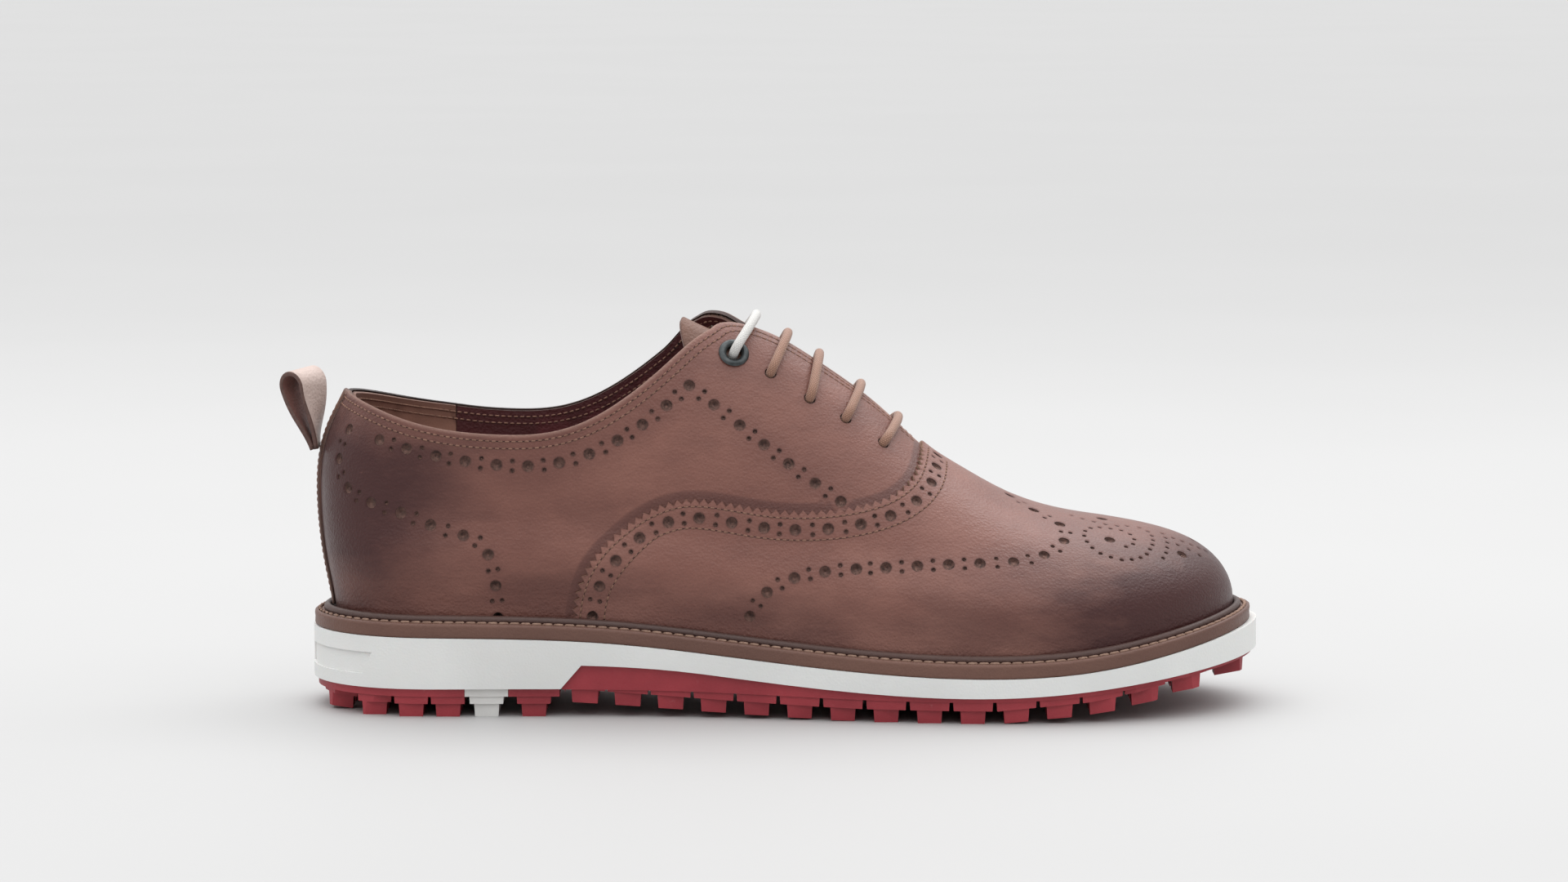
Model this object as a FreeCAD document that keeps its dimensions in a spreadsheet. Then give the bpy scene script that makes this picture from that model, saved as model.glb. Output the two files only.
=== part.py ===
import FreeCAD, Part
import math
import os
from FreeCAD import Vector, Rotation, Placement

# Golf shoe, right foot, men's EU 43: a lasted leather brogue upper on a welted, spikeless sole.
# +X points to the toe, +Y to the medial (inner) side and +Z up, with the origin on the ground under the
# middle of the shoe's box. Millimetres. The upper is a set of thin layers under one master surface, which
# shape_error() describes. The sole is a stack of slabs between curves of height over the shoe's length.

SIZES = (
    ("heel_end", -143.2), ("toe_end", 149.6),            # the upper's ends at the welt
    ("heel_arc_start", -106.0), ("toe_arc_start", 92.0),  # where its plan starts to close
    ("toe_swing", 3.5),                                  # how far the toe's tip leans to the medial side
    ("leather", 1.2), ("ply_gap", 0.1), ("lining", 0.8),
    ("welt_ledge", 5.5), ("welt_thick", 4.8), ("rand_height", 2.2), ("rand_width", 2.2),
    ("midsole_depth", 60.0), ("stud_height", 6.2), ("stud_pitch", 13.7), ("stud_size", 7.4),
    ("stud_step", 11.6), ("stud_draft", 4.0),
    ("filler_thick", 3.0), ("board_thick", 2.0), ("foam_thick", 4.0), ("cover_thick", 1.0),
    ("shank_length", 105.0), ("shank_width", 16.0), ("shank_thick", 1.4),
    ("facing_gap", 10.5), ("lace_radius", 1.55), ("punch_radius", 2.0),
    ("eyelet_flange", 4.9), ("eyelet_lift", 0.35), ("eyelet_lip", 0.6),
    ("eyelet_bore", 2.5), ("eyelet_wall", 0.5),
    ("tab_width", 14.0), ("tab_strap", 1.5),
    ("backstrip_width", 10.0), ("tongue_width", 50.0), ("tongue_thick", 1.6),
)

doc = FreeCAD.newDocument("golf_shoe")
sheet = doc.addObject("Spreadsheet::Sheet", "Sizes")
for row, (alias, value) in enumerate(SIZES, 1):
    sheet.set(f"A{row}", alias)
    sheet.set(f"B{row}", str(value))
    sheet.setAlias(f"B{row}", alias)
doc.recompute()


def size(alias):
    return float(sheet.get(alias))


# ---------------------------------------------------------------- curves over the shoe's length


def spline(*knots):
    """A natural cubic spline through (x, value) knots, as a function that goes on straight at its ends."""
    xs, ys = zip(*knots)
    n = len(xs)
    gap = [xs[i + 1] - xs[i] for i in range(n - 1)]
    bend, lower, upper = [0.0] * n, [0.0] * n, [0.0] * n
    for i in range(1, n - 1):
        pull = 6 * ((ys[i + 1] - ys[i]) / gap[i] - (ys[i] - ys[i - 1]) / gap[i - 1])
        whole = 2 * (gap[i - 1] + gap[i]) - gap[i - 1] * lower[i - 1]
        lower[i] = gap[i] / whole
        upper[i] = (pull - gap[i - 1] * upper[i - 1]) / whole
    for i in range(n - 2, 0, -1):
        bend[i] = upper[i] - lower[i] * bend[i + 1]

    def value(x):
        i = 0
        while i < n - 2 and x > xs[i + 1]:
            i += 1
        g, t = gap[i], min(max(x, xs[0]), xs[-1]) - xs[i]
        slope = (ys[i + 1] - ys[i]) / g - g * (2 * bend[i] + bend[i + 1]) / 6
        inside = ys[i] + slope * t + bend[i] * t * t / 2 + (bend[i + 1] - bend[i]) * t ** 3 / (6 * g)
        end_slope = slope + bend[i] * t + (bend[i + 1] - bend[i]) * t * t / (2 * g)
        return inside + end_slope * (x - min(max(x, xs[0]), xs[-1]))

    return value


def ease(x, start, end):
    """0 before start, 1 past end, smooth between."""
    t = min(max((x - start) / (end - start), 0.0), 1.0)
    return t * t * (3 - 2 * t)


HEEL, TOE = size("heel_end"), size("toe_end")
HEEL_ARC, TOE_ARC = size("heel_arc_start"), size("toe_arc_start")

# Heights over the ground.
feather_z = spline((-148, 32.8), (-90, 32.2), (-50, 30.6), (-10, 26.6), (30, 22.8), (66, 21.5),
                   (100, 23.2), (125, 27.4), (150, 33.0))
sole_top_z = spline((-148, 9.2), (-66, 9.2))
forefoot_top_z = spline((-61, 16.8), (-35, 15.7), (-8, 12.9), (18, 10.3), (58, 8.4), (84, 9.0),
                        (110, 11.4), (137, 15.0), (158, 18.6))
forefoot_low_z = spline((-66, 8.9), (-20, 8.5), (18, 7.4), (58, 7.0), (90, 7.9), (118, 11.0),
                        (145, 15.2), (158, 17.4))
ridge_z = spline((-150, 155), (-100, 155), (-60, 150), (-36, 138.5), (-15, 127.8), (0, 122.2),
                 (18, 110.8), (36, 96.6), (50, 83.6), (60, 77.0), (75, 68.6), (90, 63.2),
                 (105, 60.4), (122, 58.4), (150, 58.2))
heel_back_x = spline((20, 0.0), (32, 0.0), (45, -2.2), (58, -4.0), (69, -4.6), (80, -4.0),
                     (90, -1.4), (98, 2.4), (104, 5.4), (130, 18.0))
topline_z = spline((-143, 103.6), (-134, 100.6), (-118, 94.9), (-102, 91.2), (-86, 89.9), (-70, 90.9),
                   (-58, 95.0), (-46, 102.4), (-34, 112.2), (-24, 120.6), (-14, 126.5), (0, 140))

# Half widths of the upper at the welt, and the shape of its sections.
lateral_half = spline((-150, 33), (-108, 33), (-60, 32.5), (-20, 36), (20, 42), (55, 47.5),
                      (85, 49), (115, 46.5), (150, 43))
medial_half = spline((-150, 32), (-108, 32), (-60, 29), (-20, 27.5), (20, 33.5), (55, 43.2),
                     (85, 47.5), (115, 46.3), (150, 44.3))
section_power = spline((-150, 3.0), (-90, 3.0), (-50, 2.4), (-15, 1.95), (25, 1.8), (60, 2.0),
                       (100, 2.3), (150, 2.3))


def welt_z(x):
    """Top of the midsole, which the welt and the lasted upper stand on."""
    return feather_z(x) - size("welt_thick") - size("rand_height")


def closing(x):
    """Share of the full half width left as the plan outline closes round the heel and the toe."""
    if x > TOE_ARC:
        t = min((x - TOE_ARC) / (TOE - TOE_ARC), 1.0)
        return math.sqrt(1 - t ** 2.4)
    if x < HEEL_ARC:
        t = min((HEEL_ARC - x) / (HEEL_ARC - HEEL), 1.0)
        return math.sqrt(1 - t ** 2.3)
    return 1.0


def centre_y(x):
    return size("toe_swing") * ease(x, 55, TOE)


CHEST_START = 100.0   # where the toe box starts to close in height


def height(x):
    """Height of the master surface's ridge over the feather line."""
    t = min(max((x - CHEST_START) / (TOE - CHEST_START), 0.0), 1.0)
    return (ridge_z(x) - feather_z(x)) * math.sqrt(1 - t ** 3.2)


def shape_error(x, y, z):
    """Below 0 inside the master surface, above 0 outside it."""
    station = x
    for _ in range(4):
        station = x - heel_back_x(z) * ease(-station, 60, -HEEL)
    if not HEEL < station < TOE:
        return 1.0
    above = max(z - feather_z(station), 0.0)
    side = lateral_half(station) if y < centre_y(station) else medial_half(station)
    swell = 2.2 * math.sin(math.pi * min(above / 34.0, 1.0)) ** 2
    half = (side + swell) * closing(station)
    tall = height(station)
    if half < 1e-6 or tall < 1e-6:
        return 1.0
    return ((y - centre_y(station)) / half) ** 2 + (above / tall) ** section_power(station) - 1


# ---------------------------------------------------------------- the master surface and its layers

FAN_RADIUS, FAN_ANGLE, SIDE_ANGLE = 60.0, math.radians(80), math.radians(75)
SPINE_START, SPINE_END = -105.0, 100.0   # ends of the line on the ground that the rays leave
ROWS, COLUMNS = 40, 29
REACH = 260.0


def ray(along, tilt):
    """Start and direction of a ray: along the spine, then round the end fans; tilt leans it to +Y."""
    x = min(max(along, SPINE_START), SPINE_END)
    lean = (along - x) / FAN_RADIUS
    direction = Vector(math.sin(lean) * math.cos(tilt), math.sin(tilt), math.cos(lean) * math.cos(tilt))
    return Vector(x, 0, 0), direction


def surface_point(along, tilt):
    start, direction = ray(along, tilt)
    low, high = 0.0, REACH
    for _ in range(34):
        middle = (low + high) / 2
        p = start + direction * middle
        if shape_error(p.x, p.y, p.z) < 0:
            low = middle
        else:
            high = middle
    return start + direction * low


def surface_normal(along, tilt):
    step = 0.4
    du = surface_point(along + step, tilt) - surface_point(along - step, tilt)
    dv = surface_point(along, tilt + step / 60) - surface_point(along, tilt - step / 60)
    return du.cross(dv).normalize()


def side_point(x, z, side):
    """The point of the master surface at x and z on one side (-1 lateral, 1 medial), and its normal."""
    low, high = 0.0, 80.0
    for _ in range(34):
        middle = (low + high) / 2
        if shape_error(x, side * middle, z) < 0:
            low = middle
        else:
            high = middle
    p = Vector(x, side * low, z)
    return p, surface_normal(x, math.atan2(p.y, p.z))


def make_grid():
    first, last = SPINE_START - FAN_RADIUS * FAN_ANGLE, SPINE_END + FAN_RADIUS * FAN_ANGLE
    grid = []
    for i in range(ROWS):
        along = first + (last - first) * i / (ROWS - 1)
        tilts = [SIDE_ANGLE * (2 * j / (COLUMNS - 1) - 1) for j in range(COLUMNS)]
        grid.append([(surface_point(along, t), surface_normal(along, t)) for t in tilts])
    return grid


GRID = make_grid()


def inset_surface(depth):
    """The master surface moved in by depth, a number or a function of x."""
    rows = []
    for row in GRID:
        rows.append([p - n * (depth(p.x) if callable(depth) else depth) for p, n in row])
    surface = Part.BSplineSurface()
    surface.interpolate(rows)
    return surface


def layer(outer, inner):
    """The closed sheet between two insets of the master surface."""
    faces = [inset_surface(outer).toShape(), inset_surface(inner).toShape()]
    top, bottom = faces[0].Surface, faces[1].Surface
    u0, u1, v0, v1 = top.bounds()
    p0, p1, q0, q1 = bottom.bounds()
    for a, b in ((top.uIso(u0), bottom.uIso(p0)), (top.uIso(u1), bottom.uIso(p1)),
                 (top.vIso(v0), bottom.vIso(q0)), (top.vIso(v1), bottom.vIso(q1))):
        faces.append(Part.makeRuledSurface(a.toShape(), b.toShape()))
    shell = Part.makeShell(faces)
    shell.sewShape()
    solid = Part.makeSolid(shell)
    if solid.Volume < 0:
        solid.reverse()
    return solid


# ---------------------------------------------------------------- document helpers


def feature(label, shape):
    """A Part::Feature that holds a shape made with Part's own functions."""
    obj = doc.addObject("Part::Feature", label)
    obj.Label = label
    obj.Shape = shape
    return obj


def boolean(kind, label, base, tool):
    obj = doc.addObject(f"Part::{kind}", label)
    obj.Label = label
    obj.Base, obj.Tool = base, tool
    return obj


def fuse(label, members):
    obj = doc.addObject("Part::MultiFuse", label)
    obj.Label = label
    obj.Shapes = members
    obj.Refine = False
    return obj


def primitive(kind, label, place=None, **sizes):
    """A Part primitive; a size given as text is an expression on the sheet."""
    obj = doc.addObject(f"Part::{kind}", label)
    obj.Label = label
    for name, value in sizes.items():
        if isinstance(value, str):
            obj.setExpression(name, value)
        else:
            setattr(obj, name, value)
    if place:
        obj.Placement = place
    return obj


def curve_edge(points, closed=False):
    curve = Part.BSplineCurve()
    curve.interpolate(points, PeriodicFlag=closed)
    return curve


def new_sketch(body, name, role, curves):
    sketch = body.newObject("Sketcher::SketchObject", name)
    plane = [f for f in body.Origin.OriginFeatures if f.Role == role][0]
    sketch.AttachmentSupport = (plane, [""])
    sketch.MapMode = "FlatFace"
    sketch.addGeometry(curves, False)
    return sketch


def new_body(label):
    body = doc.addObject("PartDesign::Body", label)
    body.Label = label
    return body


def pad_plan(body, outline, length="Sizes.midsole_depth"):
    """A pad of a closed plan outline, up from the ground."""
    pad = body.newObject("PartDesign::Pad", f"{body.Label}_pad")
    pad.Profile = new_sketch(body, f"{body.Label}_plan", "XY_Plane", [curve_edge(outline, True)])
    pad.setExpression("Length", length)
    return pad


def pocket_side(body, name, curves):
    """Cuts a side profile, drawn in the XZ plane, right across the body."""
    pocket = body.newObject("PartDesign::Pocket", f"{body.Label}_{name}")
    pocket.Profile = new_sketch(body, f"{body.Label}_{name}_profile", "XZ_Plane", curves)
    pocket.Type = 1          # through all
    pocket.Midplane = True
    return pocket


def line(*points):
    return [Part.LineSegment(Vector(*a, 0), Vector(*b, 0)) for a, b in zip(points, points[1:])]


LEFT, RIGHT, FLOOR, CEILING = -175.0, 175.0, -20.0, 190.0


def span_points(height_at, start, end, count=17):
    stations = [start + (end - start) * i / (count - 1) for i in range(count)]
    return [Vector(x, height_at(x), 0) for x in stations]


def above(height_at, start=LEFT, end=RIGHT):
    """The region over a curve of height, as sketch curves."""
    pts = span_points(height_at, start, end)
    a, b = (pts[0].x, pts[0].y), (pts[-1].x, pts[-1].y)
    return [curve_edge(pts)] + line(b, (end, CEILING), (start, CEILING), a)


def below(height_at, start=LEFT, end=RIGHT):
    pts = span_points(height_at, start, end)
    a, b = (pts[0].x, pts[0].y), (pts[-1].x, pts[-1].y)
    return [curve_edge(pts)] + line(b, (end, FLOOR), (start, FLOOR), a)


def slab(label, outline, low, high):
    """A body with a plan outline between two curves of height."""
    body = new_body(label)
    pad_plan(body, outline)
    pocket_side(body, "top", above(high))
    pocket_side(body, "bottom", below(low))
    return body


OUTLINE_POINTS = 64


def feather_outline(offset, count=OUTLINE_POINTS):
    """The upper's plan outline at the welt, moved out by offset, a number or a function of x."""
    middle, half = (HEEL + TOE) / 2, (TOE - HEEL) / 2

    def point(turn):
        x = middle - half * math.cos(turn)
        x = min(max(x, HEEL), TOE)
        sideways = -lateral_half(x) if turn % (2 * math.pi) < math.pi else medial_half(x)
        return Vector(x, centre_y(x) + sideways * closing(x), 0)

    outline = []
    for i in range(count):
        turn = 2 * math.pi * i / count
        p = point(turn)
        along = point(turn + 0.02) - point(turn - 0.02)
        out = Vector(along.y, -along.x, 0).normalize()
        outline.append(p + out * (offset(p.x) if callable(offset) else offset))
    return outline


def prism(label, curves, side=0):
    """A solid of a side profile across one half of the shoe (side -1 or 1) or the whole of it (0)."""
    wire = Part.Wire(Part.__sortEdges__([c.toShape() for c in curves]))
    wire.rotate(Vector(0, 0, 0), Vector(1, 0, 0), 90)
    reach = 90
    start, across = {0: (-reach, 2 * reach), -1: (-reach, reach), 1: (0, reach)}[side]
    wire.translate(Vector(0, start, 0))
    return feature(label, Part.Face(wire).extrude(Vector(0, across, 0)))


def column(label, points, closed_curve=False):
    """A solid of a plan outline, over the whole height."""
    if closed_curve:
        wire = Part.Wire([curve_edge(points, True).toShape()])
    else:
        wire = Part.makePolygon([Vector(*p, 0) for p in points] + [Vector(*points[0], 0)])
    wire.translate(Vector(0, 0, FLOOR))
    return feature(label, Part.Face(wire).extrude(Vector(0, 0, CEILING - FLOOR)))


# ---------------------------------------------------------------- the sole

HEEL_TOP, HEEL_LOW, HEEL_FRONT = 9.2, 6.6, -68.0
BREAST_FOOT, BREAST_TOP = (-67.6, HEEL_TOP), (-61.0, 16.8)   # the midsole's step up into the waist
INSERT_BACK, INSERT_FRONT = -98.2, -84.4
LABEL_LOW, LABEL_HIGH = 13.5, 20.5


def sole_edge(x):
    """How far the midsole stands out from the upper: more at the toe, where it passes the welt."""
    return size("welt_ledge") + 0.3 + 1.8 * ease(x, 125, TOE)


def tread_edge(x):
    return sole_edge(x) - 1.4


def stud_edge(x):
    return sole_edge(x) - 1.9


# Height of the stud tips: flat under the heel and the ball, rising to the toe; straight between knots.
STUD_TIPS = ((-146, 1.8), (-134, 0.0), (-67, 0.0), (-66, 4.8), (-39, 3.2), (-12, 1.6), (15, 0.4),
             (29, 0.0), (71.2, 0.0), (86, 1.4), (101, 2.6), (115, 4.9), (131, 8.3), (158, 13.4))


def under_knots(knots, drop):
    lifted = [(x, z + drop) for x, z in knots]
    points = [(LEFT, lifted[0][1])] + lifted + [(RIGHT, lifted[-1][1])]
    return line(*points, (RIGHT, FLOOR), (LEFT, FLOOR), points[0])


def edge_y(x, side, inset):
    """Half width of the tread at x, less inset."""
    half = medial_half(x) if side > 0 else lateral_half(x)
    reach = half * closing(max(min(x, TOE - 0.5), HEEL + 0.5))
    return centre_y(x) + side * (reach + tread_edge(x) - inset)


def stud_centres(stations):
    """Rows of studs across the sole: one at each edge, and an even spread between them."""
    centres = []
    for x in stations:
        low, high = edge_y(x, -1, 5.4), edge_y(x, 1, 5.4)
        count = max(round((high - low) / size("stud_pitch")), 1)
        centres += [(x, low + (high - low) * k / count) for k in range(count + 1)]
    return centres


def squares(centres, side):
    curves = []
    for x, y in centres:
        a = side / 2
        curves += line((x - a, y - a), (x + a, y - a), (x + a, y + a), (x - a, y + a), (x - a, y - a))
    return curves


def studs(label, centres, side, drop, roof):
    """Square studs, wider towards the sheet, with ends `drop` over the tips' line."""
    body = new_body(label)
    pad = body.newObject("PartDesign::Pad", f"{label}_pad")
    pad.Profile = new_sketch(body, f"{label}_plan", "XY_Plane", squares(centres, side))
    pad.setExpression("Length", "Sizes.midsole_depth / 3")
    pad.setExpression("TaperAngle", "Sizes.stud_draft")
    pocket_side(body, "roof", above(roof))
    pocket_side(body, "ends", under_knots(STUD_TIPS, drop))
    return body


def outsole(label, sheet_body, ends, roof, stations, step):
    """A tread sheet with two-step studs, cut to the tread's outline and to its two ends."""
    centres = stud_centres(stations)
    steps = studs(f"{label}_steps", centres, step, size("stud_height") * 0.68, roof)
    tips = studs(f"{label}_tips", centres, size("stud_size"), 0.0, roof)
    outline = column(f"{label}_outline", feather_outline(stud_edge), True)
    span = primitive("Box", f"{label}_span", Placement(Vector(ends[0], -90, -1), Rotation()),
                     Length=ends[1] - ends[0], Width=180, Height=60)
    limits = boolean("Common", f"{label}_limits", outline, span)
    under = boolean("Common", f"{label}_studs", fuse(f"{label}_tiers", [steps, tips]), limits)
    length = boolean("Common", f"{label}_cut", sheet_body, span)
    return fuse(label, [length, under])


def breast_rise():
    """The line of the midsole's underside from the heel's front to beyond the toe, and its two ends."""
    rise = span_points(forefoot_top_z, BREAST_TOP[0], RIGHT)
    return [curve_edge(rise)], (rise[0].x, rise[0].y), (rise[-1].x, rise[-1].y)


def make_sole():
    tread = feather_outline(tread_edge)
    curve, start, end = breast_rise()
    front = new_body("forefoot_sheet")
    pad_plan(front, tread)
    pocket_side(front, "top", curve + line(end, (RIGHT, CEILING), (LEFT, CEILING), (LEFT, HEEL_TOP),
                                           BREAST_FOOT, start))
    pocket_side(front, "bottom", below(forefoot_low_z))
    roof = spline((-70, 8.6), (-66, 9.3), (-62, 11.6), (-56, 12.4), (-20, 11.2), (18, 8.9),
                  (58, 7.8), (84, 8.2), (118, 11.8), (145, 15.9), (158, 18.0))
    pitch = size("stud_pitch")
    outsole("outsole_forefoot", front, (BREAST_FOOT[0] + 0.4, 170.0), roof,
            [-59.9 + pitch * k for k in range(15)] + [146.8], size("stud_step"))

    low, high = spline((-160, HEEL_LOW), (160, HEEL_LOW)), spline((-160, HEEL_TOP), (160, HEEL_TOP))
    middle = spline((-160, 8.0), (160, 8.0))
    step = size("stud_step") - 1.6
    heel_parts = (("outsole_heel", (LEFT, INSERT_BACK - 0.1), [-139.0, -127.4, -115.4, -103.6]),
                  ("outsole_heel_front", (INSERT_FRONT + 0.1, HEEL_FRONT), [-76.2]),
                  ("heel_insert", (INSERT_BACK, INSERT_FRONT), [-91.3]))
    for label, ends, stations in heel_parts:
        outsole(label, slab(f"{label}_sheet", tread, low, high), ends, middle, stations, step)

    block = new_body("midsole_block")
    pad_plan(block, feather_outline(sole_edge))
    pocket_side(block, "top", above(welt_z))
    pocket_side(block, "bottom", curve + line(end, (RIGHT, FLOOR), (LEFT, FLOOR), (LEFT, HEEL_TOP),
                                              BREAST_FOOT, start))
    skin = column("label_skin", feather_outline(9.0), True)
    core = column("label_core", feather_outline(size("welt_ledge") - 0.4), True)
    window = prism("label_window", line((-152, LABEL_LOW), (-131, LABEL_LOW), (-128, LABEL_HIGH),
                                        (-152, LABEL_HIGH), (-152, LABEL_LOW)), -1)
    panel = boolean("Common", "label_panel", boolean("Cut", "label_rim", skin, core), window)
    boolean("Cut", "midsole", block, panel)


def ring(label, outer, inner, low, high):
    """A strip that runs right round the shoe between two plan offsets and two heights."""
    body = new_body(label)
    pad = body.newObject("PartDesign::Pad", f"{label}_pad")
    curves = [curve_edge(feather_outline(outer), True), curve_edge(feather_outline(inner), True)]
    pad.Profile = new_sketch(body, f"{label}_plan", "XY_Plane", curves)
    pad.setExpression("Length", "Sizes.midsole_depth")
    pocket_side(body, "top", above(high))
    pocket_side(body, "bottom", below(low))
    return body


def raised(lift):
    """The midsole's top surface, lifted."""
    return lambda x: welt_z(x) + lift


CLEAR = 0.3           # air between the lasted upper and the strips round it


def make_welt():
    thick, ledge = size("welt_thick"), size("welt_ledge")
    ring("welt", ledge, CLEAR, welt_z, raised(thick))
    rand_top = raised(thick + size("rand_height"))
    ring("storm_rand", CLEAR + size("rand_width"), CLEAR, raised(thick), rand_top)
    ring("welt_stitching", ledge - 1.3, ledge - 2.1, raised(thick), raised(thick + 0.5))


INSIDE = -4.9         # plan offset of the parts inside the linings


def make_footbed():
    fill, board = size("filler_thick"), size("board_thick")
    foam, cover = size("foam_thick"), size("cover_thick")
    inside = feather_outline(INSIDE)
    long, wide = size("shank_length"), size("shank_width")
    shank_plan = [Vector(-65 + long / 2 * math.cos(t), wide / 2 * math.sin(t), 0)
                  for t in [2 * math.pi * (k + 0.5) / 24 for k in range(24)]]
    slab("shank", shank_plan, raised(0.1), raised(0.1 + size("shank_thick")))
    filler = slab("filler_blank", inside, welt_z, raised(fill))
    grown = [Vector(p.x + math.copysign(0.5, p.x + 65), p.y * (1 + 0.8 / wide), 0) for p in shank_plan]
    boolean("Cut", "bottom_filler", filler, column("shank_slot", grown, True))
    slab("insole_board", inside, raised(fill + 0.1), raised(fill + board))
    loose = feather_outline(INSIDE - 0.4)
    base = fill + board
    slab("sockliner_foam", loose, raised(base + 0.1), raised(base + foam))
    slab("sockliner_cover", loose, raised(base + foam + 0.1), raised(base + foam + cover))


# ---------------------------------------------------------------- the upper

GRIP_FRONT = -104.0   # the seam between the heel grip and the quarter linings
VAMP_EDGE = ((54, 100), (48.5, 84.2), (45.4, 77.4), (39.3, 72.0), (30, 68.6), (14.2, 66.4),
             (-1.7, 66.8), (-17.6, 69.2), (-28.2, 69.6), (-38.7, 66.5), (-48, 60.5), (-56, 53.0),
             (-61.2, 44.3), (-64.0, 32.2), (-65, 10))


def shifted(points, dx, dz):
    return [Vector(x + dx, z + dz, 0) for x, z in points]


def ahead_of(points):
    """The side region in front of and below an edge line that runs from the ridge down to the welt."""
    a, b = points[0], points[-1]
    return [curve_edge(points)] + line((b.x, b.y), (b.x, FLOOR), (RIGHT, FLOOR), (RIGHT, CEILING),
                                       (a.x, CEILING), (a.x, a.y))


def behind(points):
    a, b = points[0], points[-1]
    return [curve_edge(points)] + line((b.x, b.y), (b.x, FLOOR), (LEFT, FLOOR), (LEFT, CEILING),
                                       (a.x, CEILING), (a.x, a.y))


def welt_floor(tag):
    """Everything lower than where the upper stands on the midsole."""
    return prism(f"floor_{tag}", below(raised(0.1)))


OPENING_HIGH = 170.0
FACING_TOP = -14.0


def opening(tag, drop=0.0, medial_lift=0.0):
    """What the foot opening takes away: all above the collar, back from the facings' top corners."""
    pts = span_points(lambda x: topline_z(x) - drop + medial_lift, -143, FACING_TOP, 15)
    first, last = pts[0], pts[-1]
    curves = [curve_edge(pts)] + line((last.x, last.y), (last.x, CEILING), (LEFT, CEILING),
                                      (LEFT, first.y), (first.x, first.y))
    return prism(f"opening_{tag}", curves)


def throat_gap(tag, widen=0.0):
    """The wedge between the two facings, seen from above."""
    half = size("facing_gap") / 2 + widen
    return column(f"throat_{tag}", [(50 + widen, 0), (36, -half * 0.6), (10, -half), (-40, -half * 1.1),
                                    (-40, half * 1.1), (10, half), (36, half * 0.6)])


# Each row of lace holes: x, height, and the x at which its lace crosses the ridge.
HOLE_ROWS = ((-0.4, 109.3, 4.7), (12.3, 101.3, 14.8), (23.9, 95.0, 28.3), (36.1, 87.2, 40.3))
EYELET_ROW = (-12.3, 115.4, -5.8)


def drill(tag, radius, rows):
    """Cylinders square to the upper at rows of holes, on both sides."""
    drills = []
    for side in (-1, 1):
        for k, (x, z, _) in enumerate(rows):
            p, n = side_point(x, z, side)
            place = Placement(p - n * 12, Rotation(Vector(0, 0, 1), n))
            label = f"drill_{tag}_{side + 1}_{k}"
            drills.append(primitive("Cylinder", label, place, Radius=radius, Height=18))
    return drills


def trim(label, blank, keep, cuts):
    """A sheet cut down to a piece: what lies in keep, less the cutters."""
    piece = boolean("Common", f"{label}_shape", blank, keep) if keep else blank
    tools = cuts[0] if len(cuts) == 1 else fuse(f"{label}_cutters", cuts)
    return boolean("Cut", label, piece, tools)


def depths(ply):
    """How deep a ply's two faces lie: ply 0 is the vamp, 1 the quarters, 2 stiffeners, 3 lining."""
    step = size("leather") + size("ply_gap")
    outer = {0: 0.0, 1: step, 2: 2 * step, 3: 2 * step + size("lining") + size("ply_gap")}[ply]
    return outer, outer + (size("leather") if ply < 2 else size("lining"))


def sheet_of(tag, ply):
    return feature(f"sheet_{tag}", layer(*depths(ply)))


def box_region(tag, x0, x1, z0, z1, side=0):
    return prism(f"region_{tag}", line((x0, z0), (x1, z0), (x1, z1), (x0, z1), (x0, z0)), side)


EYELET_HOLE = "Sizes.eyelet_bore + Sizes.eyelet_wall + 0.25"


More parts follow.
